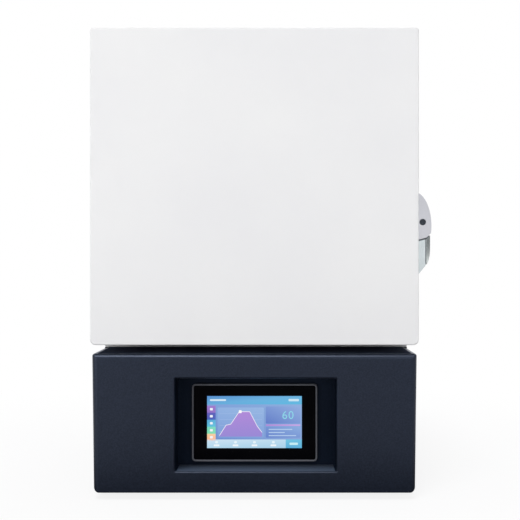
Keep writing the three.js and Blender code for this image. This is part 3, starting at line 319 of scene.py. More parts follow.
def add_mottle(material, patch, hex_code, stretch=(1, 1, 1), low=0.35, high=0.65):
    """A second shade in soft patches of a real size over the base colour."""
    tree = material.node_tree
    noise = grained(tree, patch, stretch, 4.0)
    share = add_node(tree, "ShaderNodeMapRange", {"Value": noise, "From Min": low, "From Max": high})
    base = tuple(tree.nodes["Principled BSDF"].inputs["Base Color"].default_value)
    mixed = add_node(tree, "ShaderNodeMix", {0: share, 6: base, 7: colour(hex_code)}, data_type="RGBA")
    fed(material, "Base Color", mixed.outputs[2])


def add_relief(material, grain, depth, stretch=(1, 1, 1), detail=3.0):
    """Fine relief as bump. Grains are given no finer than about half a millimetre, so that they show."""
    noise = grained(material.node_tree, grain, stretch, detail)
    bump = add_node(material.node_tree, "ShaderNodeBump", {"Height": noise, "Distance": depth})
    fed(material, "Normal", bump.outputs["Normal"])


def finish(name, hex_code, mottle=None, relief=None, **sockets):
    """A material with one shader. What is the same all over is set on the shader's own sockets."""
    material = bpy.data.materials.new(name)
    material.use_nodes = True
    shader = material.node_tree.nodes["Principled BSDF"]
    shader.inputs["Base Color"].default_value = colour(hex_code)
    for socket, value in sockets.items():
        shader.inputs[socket.replace("_", " ").title().replace("Ior", "IOR")].default_value = value
    if mottle:
        add_mottle(material, *mottle)
    if relief:
        add_relief(material, *relief)
    return material


def fitted(piece, body, material, slot, *nodes):
    """Gives a piece its finish, the body it moves with and the CAD nodes that it stands for."""
    piece.data.materials.clear()
    piece.data.materials.append(material)
    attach(piece, body)
    if nodes:
        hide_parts(*nodes)
    return piece


# Textured powder coat: cured in an oven to grains under a millimetre, drawn here at 1.4 mm so
# that they show as the faint sparkle they give. The pocket's lining is duller, and painted darker
# as the recess's shade. The ledge's coat is painted light, pale in front and dark towards the back.
coat_grain, coat_relief = 1.4 * MM, (1.4 * MM, 0.07 * MM)
coat_settings = {
    "roughness": 0.33, "specular_ior_level": 0.42, "specular_tint": colour("#bccbe8"),
    "sheen_weight": 0.1, "sheen_roughness": 0.4, "sheen_tint": colour("#c8d6ee"),
}
textured_coat = finish("textured dark powder coat", "#141822", (coat_grain, "#1d222e"), coat_relief,
                       **coat_settings)
recess_shade_coat = finish("matt recess lining, painted shade", "#0a111c", (coat_grain, "#0f1622"), coat_relief,
                     roughness=0.5, specular_ior_level=0.2, specular_tint=colour("#a9bee6"))
painted_light_coat = finish("powder coat on the ledge, painted light", "#0c1018", None, coat_relief, **coat_settings)

base_low, base_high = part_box("base_shell")
bezel_low, bezel_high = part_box("hmi_bezel")
case_low, case_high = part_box("hmi_case")
base_top, base_foot = base_high.z + 1.7 * MM, base_low.z - 0.8 * MM
base_wall, base_taper = 2 * MM, 1.9 * MM
base_edge, foot_edge = 6.5 * MM, 1.6 * MM
upper_corner, lower_corner = 3 * MM, 6 * MM
clearance = 0.3 * MM
recess_side, recess_depth, recess_corner = 18.9 * MM, 35 * MM, 2 * MM
recess_lip, recess_lip_side = 2.2 * MM, 1.5 * MM
recess_up = (31.6 * MM, 134.4 * MM)
recess_middle = (bezel_low.x + bezel_high.x) / 2 + 1.4 * MM
recess_across = centred(recess_middle, bezel_high.x - bezel_low.x + 2 * recess_side)
recess_front, recess_back = base_low.y + recess_lip, base_low.y + recess_depth
ledge_half = 0.2 * MM


def base_outline(inset, foot_inset):
    return rounded(
        (base_low.x + inset, base_high.x - inset), (base_foot + foot_inset, base_top - inset),
        max(lower_corner - inset, MM), max(upper_corner - inset, MM), taper=base_taper,
    )


def recess_outline(share, wall=0.0):
    """The recess's outline, where a share of its rolled lip widens it."""
    across = grown(recess_across, recess_lip_side * share + wall)
    return rounded(across, grown(recess_up, recess_lip * share + wall), recess_corner)


def recess_room():
    return lofted("recess_room", [
        (recess_outline(1), base_low.y - base_wall),
        *[(recess_outline(1 - sin(turn)), base_low.y + recess_lip * (1 - cos(turn)))
          for turn in edge_turns],
        (recess_outline(0), recess_back),
    ])


base_casing = lofted("base_casing", [
    *rolled(lambda inset: base_outline(inset, inset * foot_edge / base_edge), base_edge, base_low.y, 1),
    (base_outline(0, 0), base_high.y),
])
worked(base_casing, slab("base_hollow", base_outline(base_wall, base_wall),
                         (base_low.y + base_wall, base_high.y + base_wall)))
worked(base_casing, recess_room())
# The lining is painted darker than the casing's coat: painted shade inside the recess.
pocket = slab("recess_shade_lining", recess_outline(0, base_wall),
              (base_low.y + base_wall, recess_back + base_wall))
worked(pocket, recess_room())
worked(pocket, slab("case_hole", rounded(*sides(case_low, case_high, -clearance), MM),
                    (recess_back - base_wall, recess_back + 2 * base_wall)))
fitted(softened(pocket, 0.3 * MM, 2), "cabinet", recess_shade_coat, "dark_powder_coat", "base_shell")

# Painted light and shade on the ledge: its colour runs from dark at the back, where the panel shades it, to
# pale in front, where light falls on it.
ledge_tree = painted_light_coat.node_tree
ledge_place = add_node(ledge_tree, "ShaderNodeTexCoord").outputs["Object"]
ledge_axes = add_node(ledge_tree, "ShaderNodeSeparateXYZ", {"Vector": ledge_place}).outputs
painted_light_share = add_node(ledge_tree, "ShaderNodeMapRange", {
    "Value": ledge_axes["Y"], "From Min": recess_back, "From Max": recess_front,
})
painted_light_mix = add_node(ledge_tree, "ShaderNodeMix", {
    0: painted_light_share, 6: colour("#0c1018"), 7: colour("#485568"),
}, data_type="RGBA")
fed(painted_light_coat, "Base Color", painted_light_mix.outputs[2])
# The ledge is a thin sheet laid on the recess floor to carry this painted light.
ledge_up = grown((recess_up[0], recess_up[0]), ledge_half)
ledge = slab("painted_light_ledge", rounded(grown(recess_across, -recess_corner), ledge_up, ledge_half / 2),
             (recess_front, recess_back))
fitted(ledge, "cabinet", painted_light_coat, "dark_powder_coat", "base_shell")

foot_boxes = {
    f"foot_{end}_{side}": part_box(f"foot_{end}_{side}")
    for end in ("front", "rear") for side in ("left", "right")
}
flange = 9 * MM
opening_x = (foot_boxes["foot_front_left"][1].x + flange, foot_boxes["foot_front_right"][0].x - flange)
opening_y = (foot_boxes["foot_front_left"][1].y + flange, foot_boxes["foot_rear_left"][0].y - flange)
worked(base_casing, slab("underside", rounded(opening_x, opening_y, 3 * MM),
                         (base_low.z - base_wall, base_low.z + 2 * base_wall), "z"))
fitted(softened(base_casing, 0.6 * MM), "cabinet", textured_coat, "dark_powder_coat", "base_shell")


# Feet: four round feet moulded in black rubber, dull and a little grainy. Each is held by a
# screw whose head sits deep in a well under the foot.
def circle_turns(steps):
    return [2 * pi * i / steps for i in range(steps)]


def turned(name, profile, centre, axis="z", steps=64):
    """A profile of (radius, height) points turned about an axis; a zero radius closes it."""
    bm = bmesh.new()
    rings = []
    for radius, height in profile:
        turns = circle_turns(steps) if radius > 0 else [0]
        points = [placed((radius * cos(turn), radius * sin(turn)), height, axis) for turn in turns]
        rings.append([bm.verts.new(Vector(point) + Vector(centre)) for point in points])
    for low, high in zip(rings, rings[1:]):
        for i in range(steps):
            corners = dict.fromkeys(
                ring[k % len(ring)] for ring, k in ((low, i - 1), (low, i), (high, i), (high, i - 1)))
            if len(corners) > 2:
                bm.faces.new(list(corners))
    return mesh_object(name, bm)


rubber = finish("moulded black rubber", "#1c1c1d", None, (0.8 * MM, 0.04 * MM), roughness=0.85,
                specular_ior_level=0.3)
foot_radius, foot_top, foot_round, foot_rim = 12 * MM, 10 * MM, 1.2 * MM, 2.4 * MM
screw_well, well_depth = 3 * MM, 4 * MM
for name, (low, high) in foot_boxes.items():
    height = high.z - low.z
    foot = turned(f"rubber_{name}", [
        (0, well_depth), (screw_well, well_depth), (screw_well, 0), (foot_radius - foot_round, 0),
        (foot_radius, foot_round), (foot_radius, foot_rim), (foot_top, height), (0, height),
    ], ((low.x + high.x) / 2, (low.y + high.y) / 2, 0))
    fitted(softened(foot, 0.4 * MM, corner=25), "cabinet", rubber, "rubber", name)


# Touch panel: a grey moulded bezel round one pane of glass, printed black behind its border.
# The lit picture lies under the middle of the glass; a case behind it holds the electronics.
# Moulded ABS has a soft sheen and the faint grain of its mould; the glass is black and smooth.
bezel_plastic = finish("moulded grey ABS", "#585a61", None, (0.6 * MM, 0.02 * MM), roughness=0.42,
                       specular_ior_level=0.35)
bezel_rim, bezel_corner = 2 * MM, 4.4 * MM
bezel_x = (bezel_low.x - 0.8 * MM, bezel_high.x)
bezel_z = grown((bezel_low.z, bezel_high.z), 0.7 * MM)
bezel_y = (bezel_low.y, bezel_high.y)


def panel_outline(inset):
    return rounded(grown(bezel_x, -inset), grown(bezel_z, -inset), bezel_corner - inset)


bezel = worked(slab("panel_bezel", panel_outline(0), bezel_y),
               slab("bezel_opening", panel_outline(bezel_rim), grown(bezel_y, MM)))
fitted(softened(bezel, 0.7 * MM), "cabinet", bezel_plastic, "grey_plastic", "hmi_bezel")

black_glass = finish("black printed glass", "#030306", (60 * MM, "#060609"), roughness=0.06,
                     specular_ior_level=0.02)
glass_low, glass_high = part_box("hmi_screen")
pane = slab("panel_glass", panel_outline(bezel_rim + 0.2 * MM), (glass_low.y, glass_high.y))
fitted(softened(pane, 0.25 * MM, 2), "cabinet", black_glass, "screen_glass", "hmi_screen")

# The picture on the panel: plain panels and bars in the colours of such a display, with a firing
# curve and a countdown. Each tile lies a hair in front of the one below it, and gives off light.
lit_width, lit_height = 107.8 * MM, 59.2 * MM
lit_left = (glass_low.x + glass_high.x - lit_width) / 2 - 0.6 * MM
lit_foot = (glass_low.z + glass_high.z - lit_height) / 2 + 0.8 * MM
tile_step = 0.012 * MM
picture_bm = bmesh.new()
picture_colour = picture_bm.loops.layers.float_color.new("picture")


def painted(outline, layer, shade):
    """A flat shape in one layer of the picture; shade gives the colour at a place."""
    depth = glass_low.y - tile_step * (layer + 1)
    face = picture_bm.faces.new([picture_bm.verts.new(placed(point, depth, "y")) for point in outline])
    for loop in face.loops:
        loop[picture_colour] = shade(loop.vert.co.x, loop.vert.co.z)


def tile(across, up, layer, hex_codes, corner=0.0):
    """A tile in shares of the lit area, its colours from the lower left to the upper right."""
    shades = [Vector(colour(code)) for code in (hex_codes if len(hex_codes) == 4 else hex_codes * 4)]
    left, right = (lit_left + share * lit_width for share in across)
    foot, head = (lit_foot + share * lit_height for share in up)

    def shade(x, z):
        x, z = (x - left) / (right - left), (z - foot) / (head - foot)
        return shades[0].lerp(shades[1], x).lerp(shades[2].lerp(shades[3], x), z)

    outline = rounded((left, right), (foot, head), max(corner, 0.01 * MM), steps=5 if corner else 1)
    painted(outline, layer, shade)


def lit_point(x, z):
    return Vector((lit_left + x * lit_width, lit_foot + z * lit_height))


def ribbon(points, layer, width, hex_code):
    """A line of even width through points given in shares of the lit area."""
    spots = [lit_point(*point) for point in points]
    for start, end in zip(spots, spots[1:]):
        side = (end - start).normalized().orthogonal() * width / 2
        outline = [start - side, end - side, end + side, start + side]
        painted(outline, layer, lambda x, z: Vector(colour(hex_code)))


tile((0, 1), (0, 1), 0, ["#6c8ccf", "#8aa7dd", "#86a8de", "#93b4e2"])
tile((0, 1), (0.84, 1), 1, ["#68aede", "#63bce4", "#5b93d3", "#6fb7e3"])
tile((0.03, 0.2), (0.905, 0.94), 2, ["#d9ecf8"], 0.8 * MM)
tile((0.86, 0.97), (0.9, 0.945), 2, ["#cfe8f6"], 0.8 * MM)
tab_height = 0.135
tab_colours = [
    ["#8f6fc4", "#9a7acb", "#a884d4", "#a07fd0"],
    ["#4a5fb8", "#566cc2", "#6a5fbc", "#5f66be"],
    ["#5fc0df", "#6cc6e2", "#5aa9d8", "#63b2dc"],
    ["#7fe0b0", "#86e2ba", "#7cd8c0", "#84dcc6"],
    ["#ffb890", "#fdbb9c", "#f7cfa0", "#fad2a8"],
]
for i, shades in enumerate(tab_colours):
    foot = 0.68 - tab_height * i
    tile((0.0, 0.09), (foot, foot + tab_height), 2, shades)
    tile((0.03, 0.06), (foot + 0.045, foot + 0.09), 3, ["#f3f6fd"], (0.3 + 0.25 * (i % 3)) * MM)
tile((0.11, 0.6), (0.2, 0.78), 2, ["#7f9fdb", "#86a6de", "#94b5e4", "#9abae6"], 1.2 * MM)
for i in range(1, 5):
    ribbon([(0.13, 0.2 + 0.116 * i), (0.58, 0.2 + 0.116 * i)], 3, 0.25 * MM, "#a9c4ec")
curve = [(0.13, 0.24), (0.2, 0.44), (0.25, 0.46), (0.34, 0.7), (0.45, 0.7), (0.53, 0.42), (0.58, 0.3)]
painted(
    [lit_point(*point) for point in [(curve[0][0], 0.22), (curve[-1][0], 0.22), *reversed(curve)]], 4,
    lambda x, z: Vector(colour("#8f8bd6")).lerp(Vector(colour("#c08ede")), (z - lit_foot) / lit_height),
)
ribbon(curve, 5, 0.7 * MM, "#f4eefc")
tile((0.335, 0.365), (0.672, 0.728), 6, ["#ffffff"], 0.7 * MM)
tile((0.62, 0.985), (0.47, 0.8), 2, ["#647fca", "#7f9cd8", "#7f9bd8", "#93b0e2"], 1.2 * MM)
tile((0.62, 0.985), (0.425, 0.455), 2, ["#b58ad8", "#c9a6e6", "#b58ad8", "#cfaeea"], 0.5 * MM)
tile((0.62, 0.985), (0.2, 0.41), 2, ["#6a86cf", "#7d9bd9", "#7896d6", "#8fb0e2"], 1.2 * MM)
for i, end in enumerate((0.9, 0.82, 0.94)):
    tile((0.65, end), (0.35 - 0.06 * i, 0.368 - 0.06 * i), 3, ["#b9d3f2"], 0.4 * MM)
tile((0, 1), (0, 0.165), 2, ["#b4daf0", "#a8d2ee", "#cfe6f6", "#bfdff3"])
tile((0.83, 1), (0, 0.165), 3, ["#5fb0dc", "#64b6e0", "#74cae6", "#6fc4e4"])
for i in range(4):
    middle = 0.1 + 0.2 * i
    tile((middle - 0.03, middle + 0.03), (0.035, 0.07), 3, ["#f1f9fe"], 0.5 * MM)
    tile((middle - 0.015, middle + 0.015), (0.09, 0.135), 3, ["#e8f6fd"], 1.1 * MM)
tile((0.87, 0.96), (0.06, 0.105), 4, ["#c8f0f6"], 0.9 * MM)
picture = mesh_object("panel_picture", picture_bm)
glow = {"roughness": 0.08, "specular_ior_level": 0.02, "emission_strength": 0.97}
lit_display = finish("lit display", "#000000", **glow)
painted_colour = add_node(lit_display.node_tree, "ShaderNodeVertexColor", layer_name="picture")
fed(lit_display, "Emission Color", painted_colour.outputs["Color"])
fitted(picture, "cabinet", lit_display, "screen_glass")


def meshed(name, data):
    """A curve or a text as a plain mesh piece."""
    drawn = linked(name, data)
    depsgraph = bpy.context.evaluated_depsgraph_get()
    mesh = bpy.data.meshes.new_from_object(drawn.evaluated_get(depsgraph), depsgraph=depsgraph)
    bpy.data.objects.remove(drawn)
    return linked(name, mesh)


count_text = bpy.data.curves.new("panel_number", "FONT")
count_text.body = "60"
count_text.size = 13 * MM
count_text.space_character = 1.1
number = meshed("panel_number", count_text)
number_place = (lit_left + 0.79 * lit_width, glass_low.y - 8 * tile_step, lit_foot + 0.56 * lit_height)
number.data.transform(Matrix.Translation(number_place) @ Matrix.Rotation(radians(90), 4, "X"))
number_light = finish("lit number", "#000000", emission_color=colour("#8fd8ea"), **glow)
fitted(number, "cabinet", number_light, "screen_glass")


def refined(node, radius, segments=2):
    """A copy of a CAD node with its corners merged, its flats joined and its edges rounded."""
    bm = bmesh.new()
    bm.from_mesh(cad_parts[node].data)
    bmesh.ops.remove_doubles(bm, verts=bm.verts, dist=0.002 * MM)
    bmesh.ops.dissolve_limit(bm, angle_limit=radians(0.8), verts=bm.verts, edges=bm.edges)
    mesh = bpy.data.meshes.new(f"{node}_finished")
    bm.to_mesh(mesh)
    bm.free()
    return softened(linked(f"{node}_finished", mesh), radius, segments)


def kept(node, body, material, slot, radius, segments=2):
    """A CAD node that keeps its shape, with rounded edges and its finish."""
    return fitted(refined(node, radius, segments), body, material, slot, node)


# Moulded black ABS has a soft grey sheen, and a fine grain that keeps it from looking wet.
black_plastic = finish("moulded black ABS", "#17181a", None, (0.7 * MM, 0.03 * MM), roughness=0.48)
kept("hmi_case", "cabinet", black_plastic, "black_plastic", 0.6 * MM)


# Base tray and electrics: a galvanised steel tray with cooling slots carries the ring-core
# transformer, the power controller on its finned heat sink, and the control board on posts.
# Zinc shows spangles of uneven gloss. Each turn of enamelled copper wire shows as a ridge, and
# the turns are drawn fewer and thicker than they are, because the real ones are too fine to show.
zinc = finish("galvanised sheet steel", "#a9acb0", None, (3 * MM, 0.01 * MM), metallic=1.0, roughness=0.38)
zinc_tree = zinc.node_tree
zinc_place = add_node(zinc_tree, "ShaderNodeTexCoord").outputs["Object"]
spangle = add_node(zinc_tree, "ShaderNodeTexVoronoi", {"Vector": zinc_place, "Scale": 1 / (9 * MM)})
spangle_shade = add_node(zinc_tree, "ShaderNodeSeparateColor", {"Color": spangle.outputs["Color"]})
spangle_gloss = add_node(zinc_tree, "ShaderNodeMapRange", {
    "Value": spangle_shade, "To Min": 0.3, "To Max": 0.46,
})
fed(zinc, "Roughness", spangle_gloss.outputs["Result"])
kept("base_tray", "cabinet", zinc, "galvanised_steel", 0.3 * MM, 1)

ring_low, ring_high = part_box("transformer")
ring_middle = (ring_low + ring_high) / 2
windings, wire_ridge = 140, 0.5 * MM
wound_copper = finish("enamelled copper winding", "#9a5527", metallic=0.75, roughness=0.34)
ring_tree = wound_copper.node_tree
ring_place = add_node(ring_tree, "ShaderNodeTexCoord").outputs["Object"]
ring_centred = add_node(ring_tree, "ShaderNodeMapping", {
    "Vector": ring_place, "Location": tuple(-ring_middle),
})
ring_turn = add_node(ring_tree, "ShaderNodeTexGradient", {"Vector": ring_centred}, gradient_type="RADIAL")
ring_strands = add_node(ring_tree, "ShaderNodeMath", {
    0: ring_turn.outputs["Fac"], 1: 2 * pi * windings,
}, operation="MULTIPLY")
ring_wave = add_node(ring_tree, "ShaderNodeMath", {0: ring_strands}, operation="SINE")
ring_bump = add_node(ring_tree, "ShaderNodeBump", {"Height": ring_wave, "Distance": wire_ridge})
fed(wound_copper, "Normal", ring_bump.outputs["Normal"])
ring_radius, ring_bore, ring_round = (ring_high.x - ring_low.x) / 2, 22 * MM, 12 * MM
ring_section = rounded((ring_bore, ring_radius), (0, ring_high.z - ring_low.z), ring_round)
ring = turned("transformer_ring", [*ring_section, ring_section[0]],
              (ring_middle.x, ring_middle.y, ring_low.z))
fitted(softened(ring, 0.3 * MM), "cabinet", wound_copper, "transformer_winding", "transformer")

# Extruded aluminium has fine lines along its fins. The board's solder mask shows its copper
# tracks as lighter green streaks.
cast_aluminium = finish("extruded aluminium", "#b9bcc0", None, (1.2 * MM, 0.012 * MM, (1, 0.05, 1)),
                        metallic=1.0, roughness=0.34)
kept("heat_sink", "cabinet", cast_aluminium, "aluminium", 0.3 * MM, 1)
kept("power_controller", "cabinet", black_plastic, "black_plastic", 0.8 * MM)
solder_mask = finish("green solder mask", "#174a2c", (2.5 * MM, "#1f6a3f", (1, 0.35, 1), 0.48, 0.52),
                     (1.5 * MM, 0.03 * MM), roughness=0.32)
kept("control_board", "cabinet", solder_mask, "circuit_board", 0.3 * MM, 1)


# Base rear panel: a powder-coated plate set in from the rear edge, cut for the fan, the breaker
# and the mains inlet, with a row of cooling slots between them, held by button head screws.
def new_tree(name, sizes):
    """A geometry node group with a geometry input and named sizes, and its input node."""
    tree = bpy.data.node_groups.new(name, "GeometryNodeTree")
    tree.interface.new_socket("Geometry", in_out="INPUT", socket_type="NodeSocketGeometry")
    for size, kind in {**sizes, "Material": "Material"}.items():
        tree.interface.new_socket(size, in_out="INPUT", socket_type=f"NodeSocket{kind}")
    tree.interface.new_socket("Geometry", in_out="OUTPUT", socket_type="NodeSocketGeometry")
    return tree, add_node(tree, "NodeGroupInput").outputs


def ended(tree, inputs, geometry):
    """Closes a node group: realizes its instances and sets the material."""
    real = add_node(tree, "GeometryNodeRealizeInstances", {"Geometry": geometry})
    coated = add_node(tree, "GeometryNodeSetMaterial", {"Geometry": real, "Material": inputs["Material"]})
    add_node(tree, "NodeGroupOutput", {"Geometry": coated})


def grown_by(piece, tree, material, **sizes):
    """Runs a node group on a piece with its sizes given by name, and keeps the plain mesh."""
    modifier = piece.modifiers.new(tree.name, "NODES")
    modifier.node_group = tree
    values = {size.replace("_", " ").title(): value for size, value in sizes.items()}
    values["Material"] = material
    for socket in tree.interface.items_tree:
        if socket.in_out == "INPUT" and socket.name in values:
            modifier[socket.identifier] = values[socket.name]
    return settled(piece)


slots_tree, slots_in = new_tree("punched slots", {
    "First": "Vector", "Step": "Vector", "Count": "Int",
    "Length": "Float", "Width": "Float", "Depth": "Float", "Turn": "Vector",
})
slot_half = add_node(slots_tree, "ShaderNodeMath", {0: slots_in["Width"], 1: 0.499}, operation="MULTIPLY")
slot_outline = add_node(slots_tree, "GeometryNodeCurvePrimitiveQuadrilateral", {
    "Width": slots_in["Length"], "Height": slots_in["Width"],
})
slot_round = add_node(slots_tree, "GeometryNodeFilletCurve", {
    "Curve": slot_outline, "Radius": slot_half, "Count": 6,
}, mode="POLY")
slot_back = add_node(slots_tree, "ShaderNodeMath", {0: slots_in["Depth"], 1: -1.0}, operation="MULTIPLY")
slot_start = add_node(slots_tree, "ShaderNodeCombineXYZ", {"Z": slot_back})
slot_end = add_node(slots_tree, "ShaderNodeCombineXYZ", {"Z": slots_in["Depth"]})
slot_line = add_node(slots_tree, "GeometryNodeCurvePrimitiveLine", {"Start": slot_start, "End": slot_end})
slot_punch = add_node(slots_tree, "GeometryNodeCurveToMesh", {
    "Curve": slot_line, "Profile Curve": slot_round, "Fill Caps": True,
})
slot_row = add_node(slots_tree, "GeometryNodeMeshLine", {
    "Count": slots_in["Count"], "Start Location": slots_in["First"], "Offset": slots_in["Step"],
})
slot_copies = add_node(slots_tree, "GeometryNodeInstanceOnPoints", {
    "Points": slot_row, "Instance": slot_punch, "Rotation": slots_in["Turn"],
})
slot_tools = add_node(slots_tree, "GeometryNodeRealizeInstances", {"Geometry": slot_copies})
slot_cut = add_node(slots_tree, "GeometryNodeMeshBoolean", {
    "Mesh 1": slots_in["Geometry"], "Mesh 2": slot_tools,
}, operation="DIFFERENCE", solver="EXACT")
ended(slots_tree, slots_in, slot_cut)
upright, level = (radians(90), 0, 0), (0, 0, 0)


def punched(piece, material, middle, step, count, length, width, depth, turn):
    """A row of slots through a plate, about the row's middle."""
    step = Vector(step)
    first = Vector(middle) - step * (count - 1) / 2
    return grown_by(piece, slots_tree, material, first=first, step=step, count=count, length=length,
                    width=width, depth=depth, turn=turn)


# Screws: button heads with a six-sided socket, pressed in steel and either blackened or bright
# zinc-plated. They give small sharp glints.
screw_tree, screw_in = new_tree("button head screws", {
    "Radius": "Float", "Height": "Float", "Turn": "Vector",
})
screw_flat = add_node(screw_tree, "ShaderNodeMath", {0: screw_in["Height"], 1: screw_in["Radius"]},
                      operation="DIVIDE")
screw_scale = add_node(screw_tree, "ShaderNodeCombineXYZ", {"X": 1.0, "Y": 1.0, "Z": screw_flat})
screw_ball = add_node(screw_tree, "GeometryNodeMeshUVSphere", {
    "Segments": 24, "Rings": 14, "Radius": screw_in["Radius"],
})
screw_dome = add_node(screw_tree, "GeometryNodeTransform", {"Geometry": screw_ball, "Scale": screw_scale})
socket_share, socket_depth = 0.48, 1.2
screw_across = add_node(screw_tree, "ShaderNodeMath", {0: screw_in["Radius"], 1: socket_share},
                        operation="MULTIPLY")
screw_deep = add_node(screw_tree, "ShaderNodeMath", {0: screw_in["Height"], 1: socket_depth},
                      operation="MULTIPLY")
screw_key = add_node(screw_tree, "GeometryNodeMeshCylinder", {
    "Vertices": 6, "Radius": screw_across, "Depth": screw_deep,
}, fill_type="NGON")
screw_lift = add_node(screw_tree, "ShaderNodeCombineXYZ", {"Z": screw_in["Height"]})
screw_socket = add_node(screw_tree, "GeometryNodeTransform", {
    "Geometry": screw_key, "Translation": screw_lift,
})
screw_body = add_node(screw_tree, "GeometryNodeMeshBoolean", {"Mesh 1": screw_dome, "Mesh 2": screw_socket},
                      operation="DIFFERENCE", solver="EXACT")
screw_smooth = add_node(screw_tree, "GeometryNodeSetShadeSmooth", {"Geometry": screw_body})
screw_copies = add_node(screw_tree, "GeometryNodeInstanceOnPoints", {
    "Points": screw_in["Geometry"], "Instance": screw_smooth, "Rotation": screw_in["Turn"],
})
ended(screw_tree, screw_in, screw_copies)
screw_steel = finish("blackened screw steel", "#3c3e42", None, (0.5 * MM, 0.01 * MM), metallic=1.0,
                     roughness=0.35)
bright_screw = finish("bright zinc screw steel", "#b4b6b8", None, (0.5 * MM, 0.01 * MM), metallic=1.0,
                      roughness=0.28)
forward, backward, left_side, right_side = (0, -1, 0), (0, 1, 0), (-1, 0, 0), (1, 0, 0)
large_head, head_radius, flat_head = 3.2 * MM, 3.0 * MM, 1.4 * MM
dome_share = 0.55


def screws(name, places, facing, radius, material, body="cabinet", height=None):
    """Like screws on faces that look the same way, domed unless the height of the heads is given."""
    mesh = bpy.data.meshes.new(name)
    mesh.from_pydata([tuple(place) for place in places], [], [])
    turn = Vector((0, 0, 1)).rotation_difference(Vector(facing)).to_euler()
    piece = grown_by(linked(name, mesh), screw_tree, material, radius=radius,
                     height=height or dome_share * radius, turn=tuple(turn))
    piece.data.set_sharp_from_angle(angle=radians(35))
    return fitted(piece, body, material, "galvanised_steel")


def with_middle(span, margin):
    return (span[0] + margin, (span[0] + span[1]) / 2, span[1] - margin)


def round_the_edge(across, y, up):
    """The places on the border of a grid of screws in an upright plate."""
    return [(x, y, z) for x in across for z in up if x in (across[0], across[-1]) or z in (up[0], up[-1])]


def round_outline(x, z, radius, steps=96):
    return [(x + radius * cos(turn), z + radius * sin(turn)) for turn in circle_turns(steps)]


rear_low, rear_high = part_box("base_rear_panel")
fan_low, fan_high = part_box("fan_frame")
fan_middle = (fan_low + fan_high) / 2
inlet_low, inlet_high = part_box("mains_inlet")
fan_bore = 38 * MM
rear_inset = base_wall + clearance
rear_plate = slab("rear_plate", base_outline(rear_inset, rear_inset), (rear_low.y, rear_high.y))
cuts = [round_outline(fan_middle.x, fan_middle.z, fan_bore)]
for node, width, height in (("breaker_body", 32 * MM, 44 * MM), ("mains_inlet", 38 * MM, 27 * MM)):
    middle = sum(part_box(node), Vector()) / 2
    cut_x, cut_z = centred(middle.x, width + 2 * clearance), centred(middle.z, height + 2 * clearance)
    cuts.append(rounded(cut_x, cut_z, MM))
for outline in cuts:
    worked(rear_plate, slab("rear_cut", outline, grown((rear_low.y, rear_high.y), base_wall)))
vents_x = (inlet_high.x + fan_low.x) / 2
punched(rear_plate, textured_coat, (vents_x, rear_low.y, fan_middle.z), (0, 0, 10 * MM), count=7,
        length=34 * MM, width=5 * MM, depth=3 * base_wall, turn=upright)
fitted(softened(rear_plate, 0.3 * MM, 2), "cabinet", textured_coat, "dark_powder_coat", "base_rear_panel")
rear_margin, rear_foot_margin = 12 * MM, 14 * MM
screws("rear_panel_screws", round_the_edge(
    (rear_low.x + rear_margin, recess_middle, rear_high.x - rear_margin), rear_high.y,
    (rear_low.z + rear_foot_margin, rear_high.z - rear_margin),
), backward, large_head, screw_steel)


# Fan: an 80 mm axial fan, its square frame, four struts and motor moulded in one, with a seven
# blade rotor pressed on the shaft and a wire guard on the outside of the rear panel. The glass
# fibres in the moulding make it dull and faintly rough; the guard's nickel plating is bright.
fan_plastic = finish("glass-filled black PBT", "#131416", None, (1.0 * MM, 0.05 * MM), roughness=0.55)
fan_corner = 4 * MM
fan_hub, hub_wall, motor_plate, blade_thickness = 18 * MM, 1.5 * MM, 3 * MM, 1.6 * MM
fan_hole, hole_inset = 2.1 * MM, 4.3 * MM
fan_y, fan_motor_y = (fan_low.y, fan_high.y), (fan_low.y, fan_low.y + motor_plate)
fan_x, fan_z = sides(fan_low, fan_high)
fan_frame = slab("fan_housing", rounded(fan_x, fan_z, fan_corner), fan_y)
fan_corners = [(x, z) for x in grown(fan_x, -hole_inset) for z in grown(fan_z, -hole_inset)]
for outline in (round_outline(fan_middle.x, fan_middle.z, fan_bore),
                *[round_outline(x, z, fan_hole, 24) for x, z in fan_corners]):
    worked(fan_frame, slab("duct", outline, grown(fan_y, MM)))
strut_half, strut_start, strut_end = 2 * MM, 8 * MM, fan_bore + MM
quarter_turns = [radians(45 + 90 * quarter) for quarter in range(4)]
for turn in quarter_turns:
    out, across = Vector((cos(turn), sin(turn))), Vector((-sin(turn), cos(turn)))
    inner, outer = (Vector((fan_middle.x, fan_middle.z)) + out * reach for reach in (strut_start, strut_end))
    side = across * strut_half
    worked(fan_frame, slab("strut", [inner - side, outer - side, outer + side, inner + side], fan_motor_y),
           "UNION")
motor_outline = round_outline(fan_middle.x, fan_middle.z, fan_hub - hub_wall)
worked(fan_frame, slab("motor", motor_outline, fan_motor_y), "UNION")
fitted(softened(fan_frame, 0.5 * MM, 2), "cabinet", fan_plastic, "black_plastic", "fan_frame")

rotor_low, rotor_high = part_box("fan_rotor")
hub_front, hub_rear, hub_round, shaft = rotor_low.y, rotor_high.y, 2 * MM, 5 * MM
hub_inner, hub_floor, hub_bend = fan_hub - hub_wall, hub_rear - hub_wall, 0.6 * MM
hub = turned("fan_hub", [
    (0, hub_front), (shaft, hub_front), (shaft, hub_floor), (hub_inner, hub_floor),
    (hub_inner, hub_front), (fan_hub, hub_front), (fan_hub, hub_rear - hub_round),
    (fan_hub - hub_bend, hub_rear - hub_bend), (fan_hub - hub_round, hub_rear), (0, hub_rear),
], (fan_middle.x, 0, fan_middle.z), "y")
fitted(softened(hub, 0.3 * MM, 2), "fan", fan_plastic, "black_plastic", "fan_rotor")

